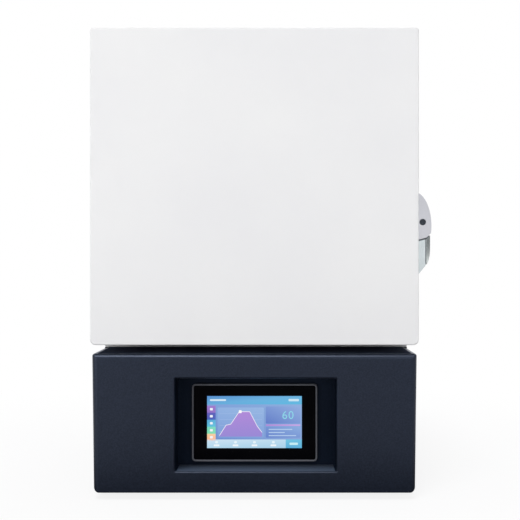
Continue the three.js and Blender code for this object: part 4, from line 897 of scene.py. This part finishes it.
fan_tip, fan_chord, fan_blades = 36.6 * MM, 18 * MM, 7
root_pitch, tip_pitch = radians(40), radians(24)
chord_steps, span_steps = 12, 8
edge_share = 0.15
blade_bm = bmesh.new()
blade_rings = []
for j in range(span_steps + 1):
    share = j / span_steps
    radius = fan_hub - hub_wall / 2 + share * (fan_tip - fan_hub + hub_wall / 2)
    pitch = root_pitch + share * (tip_pitch - root_pitch)
    blade_rings.append([])
    for side in (0, 1):
        for i in range(chord_steps + 1):
            across = (i / chord_steps - 0.5) * fan_chord * (1 - 2 * side)
            bow = 1 - (2 * across / fan_chord) ** 2
            thick = edge_share + (1 - edge_share) * sqrt(max(bow, 0))
            height = blade_thickness * bow + (side - 0.5) * blade_thickness * thick
            x = across * cos(pitch) - height * sin(pitch)
            y = across * sin(pitch) + height * cos(pitch)
            blade_rings[-1].append(blade_bm.verts.new((x, -y, sqrt(radius ** 2 - x ** 2))))
skinned(blade_bm, blade_rings)
blades = mesh_object("fan_blades", blade_bm)
blades.data.shade_smooth()

wheel_tree, wheel_in = new_tree("copies round an axle", {"Centre": "Vector", "Count": "Int"})
wheel_points = add_node(wheel_tree, "GeometryNodePoints", {
    "Count": wheel_in["Count"], "Position": wheel_in["Centre"],
})
wheel_index = add_node(wheel_tree, "GeometryNodeInputIndex")
wheel_share = add_node(wheel_tree, "ShaderNodeMath", {0: wheel_index, 1: wheel_in["Count"]},
                       operation="DIVIDE")
wheel_angle = add_node(wheel_tree, "ShaderNodeMath", {0: wheel_share, 1: 2 * pi}, operation="MULTIPLY")
wheel_turn = add_node(wheel_tree, "ShaderNodeCombineXYZ", {"Y": wheel_angle})
wheel_copies = add_node(wheel_tree, "GeometryNodeInstanceOnPoints", {
    "Points": wheel_points, "Instance": wheel_in["Geometry"], "Rotation": wheel_turn,
})
ended(wheel_tree, wheel_in, wheel_copies)
blade_centre = (fan_middle.x, (rotor_low.y + rotor_high.y) / 2, fan_middle.z)
grown_by(blades, wheel_tree, fan_plastic, centre=blade_centre, count=fan_blades)
blades.data.set_sharp_from_angle(angle=radians(50))
fitted(blades, "fan", fan_plastic, "black_plastic")

guard_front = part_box("fan_guard")[0].y
guard_wire = 1.1 * MM
guard_chrome = finish("bright nickel-plated wire", "#c8cacd", None, (2 * MM, 0.02 * MM), metallic=1.0,
                      roughness=0.2)
guard_tree, guard_in = new_tree("wire guard rings", {
    "Centre": "Vector", "Count": "Int", "Pitch": "Float", "Wire": "Float",
})
guard_line = add_node(guard_tree, "GeometryNodePoints", {
    "Count": guard_in["Count"], "Position": guard_in["Centre"],
})
guard_index = add_node(guard_tree, "GeometryNodeInputIndex")
guard_number = add_node(guard_tree, "ShaderNodeMath", {0: guard_index, 1: 1.0}, operation="ADD")
guard_circle = add_node(guard_tree, "GeometryNodeCurvePrimitiveCircle", {
    "Resolution": 96, "Radius": guard_in["Pitch"],
})
guard_upright = add_node(guard_tree, "GeometryNodeTransform", {
    "Geometry": guard_circle, "Rotation": upright,
})
guard_copies = add_node(guard_tree, "GeometryNodeInstanceOnPoints", {
    "Points": guard_line, "Instance": guard_upright, "Scale": guard_number,
})
guard_curves = add_node(guard_tree, "GeometryNodeRealizeInstances", {"Geometry": guard_copies})
guard_section = add_node(guard_tree, "GeometryNodeCurvePrimitiveCircle", {
    "Resolution": 12, "Radius": guard_in["Wire"],
})
guard_mesh = add_node(guard_tree, "GeometryNodeCurveToMesh", {
    "Curve": guard_curves, "Profile Curve": guard_section,
})
guard_soft = add_node(guard_tree, "GeometryNodeSetShadeSmooth", {"Geometry": guard_mesh})
ended(guard_tree, guard_in, guard_soft)
guard_middle = Vector((fan_middle.x, guard_front + guard_wire, fan_middle.z))
guard_rings = grown_by(linked("guard_rings", bpy.data.meshes.new("guard_rings")), guard_tree, guard_chrome,
                       centre=guard_middle, count=3, pitch=fan_bore / 3, wire=guard_wire)
fitted(guard_rings, "cabinet", guard_chrome, "chrome_plate", "fan_guard")

eye_reach = (fan_middle.x - fan_low.x - hole_inset) * sqrt(2)
back = Vector((0, 1, 0))
eye_section = [(fan_hole, 0), (2 * fan_hole, 0), (2 * fan_hole, guard_wire), (fan_hole, guard_wire)]
spoke_bm = bmesh.new()


def spoke_ring(middle, radius, first, second, steps):
    """A ring of points about a middle, turned from one direction to the next."""
    return [spoke_bm.verts.new(middle + radius * (first * cos(turn) + second * sin(turn)))
            for turn in circle_turns(steps)]


for quarter in quarter_turns:
    out, across = Vector((cos(quarter), 0, sin(quarter))), Vector((-sin(quarter), 0, cos(quarter)))
    skinned(spoke_bm, [
        spoke_ring(guard_middle + out * reach, guard_wire, across, back, 12)
        for reach in (fan_bore / 3, eye_reach - fan_hole)
    ])
    eye_middle = Vector((guard_middle.x, guard_front, guard_middle.z)) + out * eye_reach
    skinned(spoke_bm, [
        spoke_ring(eye_middle + back * depth, radius, out, across, 24) for radius, depth in eye_section
    ], closed=True)
spokes = mesh_object("guard_spokes", spoke_bm)
spokes.data.shade_smooth()
spokes.data.set_sharp_from_angle(angle=radians(40))
fitted(spokes, "cabinet", guard_chrome, "chrome_plate")
fan_head = 3.4 * MM
screws("fan_screws", [(x, guard_front + guard_wire, z) for x, z in fan_corners], backward, fan_head,
       screw_steel)


# Mains side: a circuit breaker whose rocker toggle tips in the nose of its case, and a flanged
# inlet with three brass blades. Both are bought-in black mouldings; the toggle is a grey one of
# polyamide with a dull sheen, so that it stands out from its case.
kept("breaker_body", "cabinet", black_plastic, "black_plastic", 0.5 * MM)
toggle_plastic = finish("moulded grey polyamide", "#6d7076", None, (0.6 * MM, 0.02 * MM), roughness=0.45)
kept("breaker_toggle", "toggle", toggle_plastic, "grey_plastic", 0.5 * MM)
kept("mains_inlet", "cabinet", black_plastic, "black_plastic", 0.4 * MM)
inlet_middle = (inlet_low + inlet_high) / 2
inlet_screw_x, inlet_head = centred(inlet_middle.x, 48 * MM), 2.8 * MM
screws("inlet_screws", [(x, inlet_high.y, inlet_middle.z) for x in inlet_screw_x], backward, inlet_head,
       screw_steel)


# Spacer: a dull plate pressed from dark mica sheets, which keeps the housing clear of the base, so
# that only a black gap shows between them. A rubber bead seals each of its sides. A strip of dark
# matt felt lies on the base under the door as painted shade: it draws the shade the door casts there.
def dressed(material, *nodes):
    """Gives CAD nodes that keep their shape their finish."""
    for node in nodes:
        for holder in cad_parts[node].material_slots:
            holder.material = material


spacer_board = finish("dark mica laminate", "#101113", (6 * MM, "#1a1b1d", (1, 1, 0.2)),
                      (2 * MM, 0.05 * MM), roughness=0.6)
dressed(spacer_board, "thermal_break_plate")
spacer_low, spacer_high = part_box("thermal_break_plate")
bead_steps, bead_top = 6, base_top + 0.3 * MM
for side, edge, board_edge in ((-1, base_low.x, spacer_low.x), (1, base_high.x, spacer_high.x)):
    shoulder = edge - side * upper_corner
    reach = abs(board_edge - shoulder)
    below = [
        (shoulder + side * reach * i / bead_steps,
         base_top - upper_corner + sqrt(upper_corner ** 2 - (reach * i / bead_steps) ** 2))
        for i in range(bead_steps + 1)
    ]
    bead = slab("silicone_bead", [*below, (board_edge, bead_top), (shoulder, bead_top)],
                (spacer_low.y, spacer_high.y))
    fitted(bead, "cabinet", rubber, "rubber")
# The dark strip under the door is painted shade.
strip_across = (base_low.x + 2 * upper_corner, base_high.x - 2 * upper_corner)
seam_shade_strip = slab("seam_shade_strip", rounded(strip_across, (base_low.y + base_edge, spacer_low.y), 0.5 * MM),
                  (base_top - 0.2 * MM, base_top + 0.25 * MM), "z")
seam_shade_felt = finish("dark felt strip, painted seam shade", "#343a4a", (1.2 * MM, "#3d4455"), roughness=1.0,
                   specular_ior_level=0.03)
fitted(seam_shade_strip, "cabinet", seam_shade_felt, "rubber")


# Housing: a tube of folded sheet steel in smooth white powder coat, with slots over the element
# terminals, closed behind by a plate and in front by the plate round the chamber's mouth. The
# coat flows out smooth in the oven, with a soft low gloss and the faintest orange peel.
white_coat = finish("smooth white powder coat", "#e8e8e8", (160 * MM, "#e5e5e6"), (1.6 * MM, 0.025 * MM),
                    roughness=0.5, specular_ior_level=0.2)
shell_low, shell_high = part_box("housing_shell")
sheet, fold, inner_fold = 1.5 * MM, 1.5 * MM, 0.4 * MM
shell_y = (shell_low.y, shell_high.y)
housing = slab("housing_casing", rounded(*sides(shell_low, shell_high), fold), shell_y)
worked(housing, slab("inside", rounded(*sides(shell_low, shell_high, sheet), inner_fold),
                     grown(shell_y, MM)))
boards_low, boards_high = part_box("insulation_floor")
vent_pitch, vent_width = 12 * MM, 5 * MM
housing_middle = (shell_low.x + shell_high.x) / 2
for x in centred(housing_middle, (shell_high.x - shell_low.x) / 2):
    middle = (x, (boards_low.y + boards_high.y) / 2, shell_high.z)
    punched(housing, white_coat, middle, (0, vent_pitch, 0), count=9, length=70 * MM, width=vent_width,
            depth=2 * sheet, turn=level)
fitted(softened(housing, 0.25 * MM, 2), "cabinet", white_coat, "white_powder_coat", "housing_shell")

kept("housing_rear_panel", "cabinet", white_coat, "white_powder_coat", 0.3 * MM)
back_low, back_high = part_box("housing_rear_panel")
back_margin = 10 * MM
back_screw_x = (back_low.x + back_margin, *centred(housing_middle, 120 * MM), back_high.x - back_margin)
screws("rear_plate_screws", round_the_edge(
    back_screw_x, back_high.y, with_middle((back_low.z, back_high.z), back_margin),
), backward, large_head, bright_screw)

# Front plate: the white flange folded in from the casing, and within it the brushed stainless
# plate round the chamber's mouth, which the door's gasket presses on. Brushing draws its gloss
# out in lines from side to side.
brushed_steel = finish("brushed stainless steel", "#b3b5b8", (1.5 * MM, "#a6a8ac", (0.02, 1, 1)),
                       (0.5 * MM, 0.01 * MM, (0.02, 1, 1)), metallic=1.0, roughness=0.32)
plate_low, plate_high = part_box("housing_front_plate")
mouth_margin, mouth_corner, front_flange = 3 * MM, 6 * MM, 12 * MM
left_low, left_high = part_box("insulation_left")
chamber_x = (left_high.x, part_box("insulation_right")[0].x)
chamber_z = grown((left_low.z, left_high.z), clearance)


def holed_plate(name, outer, inner, inner_corner):
    """A sheet in front of the housing: (across, up) spans of its outside and of its hole."""
    plate_y = (plate_low.y, plate_high.y)
    return worked(slab(name, rounded(*outer, MM), plate_y),
                  slab("hole", rounded(*inner, inner_corner), grown(plate_y, MM)))


flange_spans = sides(plate_low, plate_high, front_flange)
steel_spans = [grown(span, -0.2 * MM) for span in flange_spans]
mouth_spans = (grown(chamber_x, mouth_margin), grown(chamber_z, mouth_margin))
flange_frame = holed_plate("front_flange", sides(plate_low, plate_high), flange_spans, MM)
fitted(softened(flange_frame, 0.4 * MM, 2), "cabinet", white_coat, "white_powder_coat",
       "housing_front_plate")
front_plate = holed_plate("front_plate", steel_spans, mouth_spans, mouth_corner)
fitted(softened(front_plate, 0.4 * MM, 2), "cabinet", brushed_steel, "galvanised_steel",
       "housing_front_plate")
front_screw_x, front_screw_z = (with_middle(span, 8 * MM) for span in steel_spans)
screws("front_plate_screws", round_the_edge(front_screw_x, plate_low.y, front_screw_z),
       forward, head_radius, bright_screw, height=flat_head)


# Heating chamber: vacuum-formed alumina fibre boards, soft white and slightly rough, cut to fit
# each other. A dense fired alumina plate on the floor, cream and matt, carries the crucible.
fibre = finish("vacuum-formed alumina fibre board", "#e9e6dd", (9 * MM, "#dcd7ca", (1, 1, 1), 0.4, 0.7),
               (1.8 * MM, 0.35 * MM, (1, 1, 1), 6.0), roughness=0.95, specular_ior_level=0.1)
for board in ("floor", "roof", "left", "right", "rear"):
    kept(f"insulation_{board}", "cabinet", fibre, "fibre_board", 0.6 * MM, 1)
alumina = finish("fired alumina", "#dcd3c0", (5 * MM, "#cfc4ae"), (0.9 * MM, 0.05 * MM), roughness=0.6)
hearth_low, hearth_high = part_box("hearth_plate")
hearth = slab("hearth", rounded(*sides(hearth_low, hearth_high, axes="xy"), 8 * MM),
              (hearth_low.z, hearth_high.z), "z")
fitted(softened(hearth, 0.9 * MM), "cabinet", alumina, "alumina", "hearth_plate")


# Heating elements: molybdenum disilicide rods bent to a U, thin where they glow and thick where
# they pass the roof, each hung in a fibre brick by two collars. Braided straps join them. The
# rods have a grey glaze with brownish patches, and the braid a coarse weave.
silicide = finish("glazed molybdenum disilicide", "#4a4a4d", (14 * MM, "#5c564f"), (1.2 * MM, 0.06 * MM),
                  roughness=0.3, metallic=0.35)
braid = finish("braided aluminium strap", "#b0b3b6", None, (1.4 * MM, 0.4 * MM), metallic=0.9,
               roughness=0.42)
hot_radius, cold_radius, bend_radius = 2 * MM, 4.5 * MM, 12.5 * MM
cold_low, cone = chamber_z[1] - 10 * MM, 8 * MM
collar_radius, collar_height = 7 * MM, 6 * MM
for i in range(1, 5):
    low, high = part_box(f"heating_element_{i}")
    middle = (low + high) / 2
    bend_height = low.z + hot_radius + bend_radius
    leg = [(high.z, cold_radius), (cold_low, cold_radius), (cold_low - cone, hot_radius)]
    path = [(middle.y - bend_radius, height, radius) for height, radius in leg]
    for turn in [pi * (1 + j / 16) for j in range(17)]:
        path.append((middle.y + bend_radius * cos(turn), bend_height + bend_radius * sin(turn), hot_radius))
    path += [(middle.y + bend_radius, height, radius) for height, radius in reversed(leg)]
    rod = bpy.data.curves.new(f"element_rod_{i}", "CURVE")
    rod.dimensions = "3D"
    rod.bevel_depth = 1.0
    rod.bevel_resolution = 5
    rod.use_fill_caps = True
    spline = rod.splines.new("POLY")
    spline.points.add(len(path) - 1)
    for point, (y, z, radius) in zip(spline.points, path):
        point.co = (middle.x, y, z, 1)
        point.radius = radius
    element = meshed(f"element_rod_{i}", rod)
    element.data.shade_smooth()
    element.data.set_sharp_from_angle(angle=radians(45))
    fitted(element, "cabinet", silicide, "silicide", f"heating_element_{i}")
    collar_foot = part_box(f"element_holder_{i}")[1].z + clearance
    for y, name in zip(centred(middle.y, 2 * bend_radius), ("front", "rear")):
        collar = turned(f"element_collar_{i}_{name}", [
            (0, 0), (collar_radius, 0), (collar_radius, collar_height), (0, collar_height),
        ], (middle.x, y, collar_foot), steps=32)
        fitted(softened(collar, 0.6 * MM, 2), "cabinet", alumina, "alumina")
    kept(f"element_holder_{i}", "cabinet", fibre, "alumina", 0.5 * MM, 1)
for i in range(1, 4):
    kept(f"element_strap_{i}", "cabinet", braid, "aluminium", 0.8 * MM)


# Thermocouple: a closed alumina sheath that reaches into the chamber through the rear board, in
# a stepped ceramic head that the rear plate carries.
probe_low, probe_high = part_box("thermocouple")
probe_middle = (probe_low + probe_high) / 2
sheath, neck, head, head_front = 3 * MM, 8 * MM, 14 * MM, probe_high.y - 22 * MM
neck_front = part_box("insulation_rear")[1].y + 15 * MM
tip_turns = [radians(90 * j / 6) for j in range(7)]
probe = turned("thermocouple_probe", [
    *[(sheath * sin(turn), probe_low.y + sheath * (1 - cos(turn))) for turn in tip_turns],
    (sheath, neck_front), (neck, neck_front), (neck, head_front), (head, head_front), (head, probe_high.y),
    (0, probe_high.y),
], (probe_middle.x, 0, probe_middle.z), "y", 48)
fitted(softened(probe, 0.5 * MM, 2), "cabinet", alumina, "alumina", "thermocouple")


# Rear cover: a shallow folded cover in the white coat over the thermocouple and the leads, with
# two columns of cooling slots and four screws through its corners.
cover_low, cover_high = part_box("rear_cover")
cover_middle = (cover_low + cover_high) / 2
cover_corner, cover_edge = 4 * MM, 2 * MM


def cover_outline(inset):
    return rounded(*sides(cover_low, cover_high, inset), max(cover_corner - inset, 0.5 * MM))


cover = lofted("rear_cover_sheet", [
    (cover_outline(0), cover_low.y), *rolled(cover_outline, cover_edge, cover_high.y, -1),
])
worked(cover, slab("cover_inside", cover_outline(sheet), (cover_low.y - MM, cover_high.y - sheet)))
for x in centred(cover_middle.x, (cover_high.x - cover_low.x) / 2):
    punched(cover, white_coat, (x, cover_high.y, cover_middle.z), (0, 0, 2 * vent_pitch), count=8,
            length=62 * MM, width=vent_width, depth=2 * sheet, turn=upright)
fitted(softened(cover, 0.25 * MM, 2), "cabinet", white_coat, "white_powder_coat", "rear_cover")
cover_screw_x, cover_screw_z = sides(cover_low, cover_high, 9 * MM)
screws("rear_cover_screws", round_the_edge(cover_screw_x, cover_high.y - 0.2 * MM, cover_screw_z),
       backward, head_radius, bright_screw, height=flat_head)


# Door: a folded sheet steel box in the same white coat, with sharp upper and rounded lower
# corners. A steel plate closes it behind, round a fibre plug that fits the chamber's mouth.
door_edge, door_corner, door_top_corner = 1.5 * MM, 6 * MM, 3 * MM


def door_outline(inset):
    return rounded(*sides(door_low, door_high, inset),
                   max(door_corner - inset, MM), max(door_top_corner - inset, MM))


door_casing = lofted("door_casing", [
    *rolled(door_outline, door_edge, door_low.y, 1), (door_outline(0), door_high.y),
])
worked(door_casing, slab("door_inside", door_outline(sheet), (door_low.y + sheet, door_high.y + MM)))
fitted(softened(door_casing, 0.3 * MM, 2), "door", white_coat, "white_powder_coat", "door_shell")
dressed(fibre, "door_insulation")

inner_low, inner_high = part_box("door_back_plate")
inner_y = (inner_low.y, inner_high.y)
plug_low, plug_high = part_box("door_plug")
plug_corner, plug_taper, plug_edge = 6 * MM, 4 * MM, 3 * MM
inner_plate = slab("door_inner_plate", door_outline(sheet + clearance), inner_y)
worked(inner_plate, slab("plug_hole", rounded(*sides(plug_low, plug_high, -clearance), plug_corner),
                         grown(inner_y, MM)))
fitted(softened(inner_plate, 0.3 * MM, 2), "door", brushed_steel, "galvanised_steel", "door_back_plate")
inner_screw_x, inner_screw_z = (with_middle(span, 10 * MM) for span in sides(inner_low, inner_high))
screws("door_plate_screws", round_the_edge(inner_screw_x, inner_high.y, inner_screw_z),
       backward, head_radius, bright_screw, "door", flat_head)


def plug_outline(inset):
    return rounded(*sides(plug_low, plug_high, inset), max(plug_corner - inset / 2, MM))


plug_narrowing = plug_taper * (1 - plug_edge / (plug_high.y - plug_low.y))
plug = lofted("door_plug_block", [
    (plug_outline(0), plug_low.y),
    *rolled(lambda inset: plug_outline(plug_narrowing + inset), plug_edge, plug_high.y, -1),
])
fitted(softened(plug, 0.6 * MM, 2), "door", fibre, "fibre_board", "door_plug")

# The gasket is a flattened rope woven from ceramic fibre, off-white and coarse, laid in a frame
# round the plug. A magnet in the door works the sensor on the housing.
gasket_cloth = finish("woven ceramic fibre gasket", "#ddd8cb", (3 * MM, "#c9c3b3"), (2.2 * MM, 0.5 * MM),
                      roughness=0.9, specular_ior_level=0.1)
gasket_low, gasket_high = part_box("door_gasket")
gasket_width, gasket_corner = 17 * MM, 12 * MM
gasket_bm = bmesh.new()
gasket_rings = []
for turn in circle_turns(16):
    inset = gasket_width / 2 * (1 - cos(turn))
    squeeze = abs(sin(turn)) ** 0.5 * (1 if sin(turn) >= 0 else -1)
    depth = (gasket_low.y + gasket_high.y) / 2 + (gasket_high.y - gasket_low.y) / 2 * squeeze
    outline = rounded(*sides(gasket_low, gasket_high, inset), max(gasket_corner - inset, MM))
    gasket_rings.append([gasket_bm.verts.new(placed(point, depth, "y")) for point in outline])
skinned(gasket_bm, gasket_rings, closed=True)
gasket = mesh_object("door_gasket_rope", gasket_bm)
gasket.data.shade_smooth()
fitted(gasket, "door", gasket_cloth, "fibre_board", "door_gasket")
kept("door_magnet", "door", zinc, "galvanised_steel", 0.4 * MM)
kept("door_sensor", "cabinet", black_plastic, "black_plastic", 0.5 * MM)


# Hinges: two steel butt hinges on the left side, each with one knuckle on the door's leaf
# between two on the housing's, turning on a headed pin. Button head screws hold the leaves.
knuckle, leaf_thickness, leaf_corner, knuckle_gap = 5 * MM, 2.5 * MM, 1.5 * MM, 0.15 * MM
pin_radius, pin_head, pin_head_height = 2.5 * MM, 3.8 * MM, 1.6 * MM
leaf_margin, leaf_head, leaf_head_height = 12 * MM, 3.4 * MM, 1.8 * MM
for name in ("upper", "lower"):
    pin_low, pin_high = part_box(f"hinge_pin_{name}")
    pin_x, pin_y = (pin_low.x + pin_high.x) / 2, (pin_low.y + pin_high.y) / 2
    for node, body in ((f"hinge_leaf_{name}", "cabinet"), (f"door_hinge_{name}", "door")):
        leaf_low, leaf_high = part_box(node)
        leaf_z = (leaf_low.z, leaf_high.z)
        third = (leaf_high.z - leaf_low.z) / 3
        if body == "cabinet":
            leaf_y = (pin_y + knuckle + clearance, leaf_high.y)
            neck_y = (pin_y, leaf_y[0] + MM)
            knuckles = [(leaf_low.z, leaf_low.z + third - knuckle_gap),
                        (leaf_high.z - third + knuckle_gap, leaf_high.z)]
        else:
            leaf_y = (leaf_low.y, pin_y - knuckle - clearance)
            neck_y = (leaf_y[1] - MM, pin_y)
            knuckles = [(leaf_low.z + third + knuckle_gap, leaf_high.z - third - knuckle_gap)]
        leaf = slab(f"{node}_plate", rounded(leaf_y, leaf_z, leaf_corner),
                    (leaf_high.x - leaf_thickness, leaf_high.x), "x")
        barrel = round_outline(pin_x, pin_y, knuckle, 64)
        bridge = [(pin_x, neck_y[0]), (leaf_high.x, neck_y[0]),
                  (leaf_high.x, neck_y[1]), (pin_x, neck_y[1])]
        for span in knuckles:
            worked(leaf, slab("barrel", barrel, span, "z"), "UNION")
            worked(leaf, slab("bridge", bridge, span, "z"), "UNION")
        bore = round_outline(pin_x, pin_y, pin_radius + clearance, 48)
        worked(leaf, slab("bore", bore, grown(leaf_z, MM), "z"))
        fitted(softened(leaf, 0.35 * MM, 2), body, bright_screw, "galvanised_steel", node)
        screws(f"{node}_screws", [
            (leaf_high.x - leaf_thickness, leaf_y[0] + share * (leaf_y[1] - leaf_y[0]), z)
            for share in (0.3, 0.75) for z in grown(leaf_z, -leaf_margin)
        ], left_side, leaf_head, bright_screw, body, leaf_head_height)
    pin = turned(f"hinge_pin_{name}_turned", [
        (0, pin_low.z), (pin_radius, pin_low.z), (pin_radius, pin_high.z - pin_head_height),
        (pin_head, pin_high.z - pin_head_height), (pin_head, pin_high.z), (0, pin_high.z),
    ], (pin_x, pin_y, 0), steps=48)
    fitted(softened(pin, 0.4 * MM, 2), "cabinet", zinc, "galvanised_steel", f"hinge_pin_{name}")


# Latch: a die-cast body in bright chrome with two domed cheeks, and a lever below and between
# them that turns on a cross pin. The lever's grip is satin chrome with a grey seal in each of its
# two grooves, its shank is steel painted dark grey as the shade in the gap between cheek and grip,
# and its hook holds the flange of a keeper on the housing.
# The body mirrors the studio with sharp edges; the grip's satin blurs it into one soft light.
chrome = finish("polished chrome plate", "#e9e7e6", (30 * MM, "#dfdddc"), (4 * MM, 0.01 * MM),
                metallic=1.0, roughness=0.1)
satin_chrome = finish("satin chrome plate", "#e6ece9", (25 * MM, "#dde4e1"),
                      (1.2 * MM, 0.008 * MM, (1, 1, 0.1)), metallic=1.0, roughness=0.22)
latch_low, latch_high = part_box("latch_base")
latch_pin_low, latch_pin_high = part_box("latch_pin")
latch_x = (latch_pin_low.x + latch_pin_high.x) / 2
latch_z = (latch_pin_low.z + latch_pin_high.z) / 2
latch_y = (latch_low.y, latch_high.y)
latch_pin_radius = (latch_pin_high.x - latch_pin_low.x) / 2
dome_reach, dome_height, dome_drop = 19.7 * MM, 39 * MM, 4.4 * MM
cheek_edge = [(-11 * MM, -21.9 * MM), (4.4 * MM, -17.6 * MM), (9.9 * MM, -12.2 * MM), (20 * MM, -12.2 * MM)]
cheek, base_plate, lever_gap = 3.5 * MM, 2 * MM, 1.8 * MM


def about_pin(points):
    """An outline given from the latch's pin."""
    return [(latch_x + x, latch_z + z) for x, z in points]


def above_cheek_edge(drop):
    """What lies above the lower edge of the cheeks, which leads away from the lever's swing."""
    points = [(x, z - drop) for x, z in cheek_edge]
    outline = about_pin([(points[0][0], dome_height), *points, (points[-1][0], dome_height)])
    return slab("above_cheek_edge", outline, grown(latch_y, MM))


def box_about_pin(name, across, up, along):
    return slab(name, about_pin(rounded(across, up, 0.02 * MM, steps=1)), along)


latch_body = slab("latch_body", [
    (door_high.x + dome_reach * cos(radians(angle)),
     latch_z - dome_drop + dome_height * sin(radians(angle)))
    for angle in range(-90, 91, 2)
], latch_y)
softened(worked(latch_body, above_cheek_edge(0), "INTERSECT"), 1.5 * MM, 6, corner=30)
plate_edge = latch_low.x - latch_x + base_plate
tall = (-dome_height, dome_height)
worked(latch_body, box_about_pin("between_cheeks", (plate_edge, 2 * dome_reach), tall,
                                 grown(latch_y, -cheek)))
pin_room = round_outline(latch_x, latch_z, latch_pin_radius + clearance, 48)
worked(latch_body, slab("pin_bore", pin_room, grown(latch_y, MM)))
worked(latch_body, box_about_pin("door_side", (-2 * dome_reach, latch_low.x - latch_x), tall,
                                 grown(latch_y, MM)))
fitted(softened(latch_body, 0.25 * MM, 2, corner=40), "door", chrome, "chrome_plate", "latch_base")

# Oil darkens the pin's steel, so that its end is a dark disc in the bright cheek.
dark_steel = finish("oiled steel", "#42474d", None, (0.6 * MM, 0.01 * MM), metallic=1.0, roughness=0.4)
latch_pin_y = (latch_pin_low.y, latch_pin_high.y)
key_size, key_depth = 1.8 * MM, 1.2 * MM
cross_pin = slab("latch_cross_pin", round_outline(latch_x, latch_z, latch_pin_radius, 48), latch_pin_y)
for end in latch_pin_y:
    key_hole = round_outline(latch_x, latch_z, key_size, 6)
    worked(cross_pin, slab("key", key_hole, centred(end, 2 * key_depth)))
fitted(softened(cross_pin, 0.3 * MM, 2), "door", dark_steel, "galvanised_steel", "latch_pin")

lever_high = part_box("latch_lever")[1]
lever_outer = lever_high.x - latch_x
strip, groove, groove_depth, hub_radius = 4.7 * MM, 1.1 * MM, 3 * MM, 6.9 * MM
strip_inner = lever_outer - strip
web_outer = strip_inner - groove
web_inner = plate_edge + clearance
shank_y = grown(latch_y, -cheek - clearance)
lever_length, tip_rise, tip_blend = 60.5 * MM, 14.4 * MM, 5.2 * MM
tip_x = door_high.x - latch_x + 4.3 * MM
bend_x, bend_z = lever_outer - tip_blend / 2, tip_rise - lever_length
bend_curve = [(bend_x, bend_z), (lever_outer, bend_z + tip_blend), (lever_outer, bend_z + 4 * tip_blend)]
blend_points = [
    tuple((1 - share) ** 2 * a + 2 * share * (1 - share) * b + share ** 2 * c
          for a, b, c in zip(*bend_curve))
    for share in (j / 10 for j in range(11))
]
tip_slope = tip_rise / (bend_x - tip_x)
tip_at_strip = bend_z - (bend_x - strip_inner) * tip_slope
strip_slope, strip_edge = 2.35 * MM, 0.04


def grip_outline(share):
    """The grip's outline, where a share of the outer strip's width is left of it."""
    points = [(web_inner, 0), (web_inner, bend_z - (bend_x - web_inner) * tip_slope),
              (strip_inner, tip_at_strip), *blend_points, (lever_outer, 0), (strip_inner, 0)]
    return about_pin([(min(x, strip_inner + (x - strip_inner) * share), z) for x, z in points])


lever = lofted("latch_grip", [
    (grip_outline(strip_edge), latch_y[0]), (grip_outline(1), latch_y[0] + strip_slope),
    (grip_outline(1), latch_y[1] - strip_slope), (grip_outline(strip_edge), latch_y[1]),
])
worked(lever, above_cheek_edge(lever_gap))
groove_x = (web_outer, strip_inner - 0.05 * MM)
seal_z = (tip_at_strip + MM, cheek_edge[1][1] - lever_gap + MM)
for face, into in ((latch_y[0], 1), (latch_y[1], -1)):
    groove_y = grown((face, face), groove_depth)
    worked(lever, box_about_pin("groove", groove_x, (-2 * lever_length, 0), groove_y))
    seal_y = sorted((face + into * MM, face + into * groove_depth))
    fitted(box_about_pin("groove_seal", groove_x, seal_z, seal_y), "lever", bezel_plastic, "grey_plastic")
hook_top, hook_height, hook_length, hook_tongue = 22.3 * MM, 12 * MM, 4.5 * MM, 3.5 * MM
hook_z = (-hook_top - hook_height, -hook_top)
for name, across, along in (
    ("tongue", (web_outer - hook_tongue, web_outer), ((latch_y[0] + latch_y[1]) / 2, lever_high.y)),
    ("hook", (web_inner, web_outer), (lever_high.y - hook_length, lever_high.y)),
):
    worked(lever, slab(name, about_pin(rounded(across, hook_z, 0.8 * MM, steps=3)), along), "UNION")
fitted(softened(lever, 0.4 * MM, 3, corner=25), "lever", satin_chrome, "chrome_plate", "latch_lever")

# The shank's brushed steel is painted greyer than the chrome round it, as painted shade in the gap
# below the cheeks, and mirrors nothing clearly.
shank_shade_steel = finish("brushed steel, painted shade", "#6e7377", None, (0.6 * MM, 0.01 * MM), metallic=1.0, roughness=0.4)
shank_foot, shoulder_top = cheek_edge[0][1] - lever_gap - 2 * MM, -9 * MM
shank = box_about_pin("lever_shank", (web_inner, web_outer), (shank_foot, 0), shank_y)
worked(shank, box_about_pin("shoulder", (web_inner, lever_outer - 1.2 * MM), (shank_foot, shoulder_top),
                            shank_y), "UNION")
worked(shank, slab("lever_hub", round_outline(latch_x, latch_z, hub_radius, 64), shank_y), "UNION")
worked(shank, slab("lever_bore", pin_room, grown(latch_y, MM)))
fitted(softened(shank, 0.3 * MM, 2), "lever", shank_shade_steel, "chrome_plate", "latch_lever")

kept("latch_keeper", "cabinet", bright_screw, "galvanised_steel", 0.5 * MM)
keeper_low, keeper_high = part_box("latch_keeper")
keeper_face, keeper_row = keeper_low.x + 2.5 * MM, keeper_high.y - 7 * MM
keeper_screw_z = grown((keeper_low.z, keeper_high.z), -8 * MM)
screws("keeper_screws", [(keeper_face, keeper_row, z) for z in keeper_screw_z],
       right_side, head_radius, bright_screw, height=1.6 * MM)
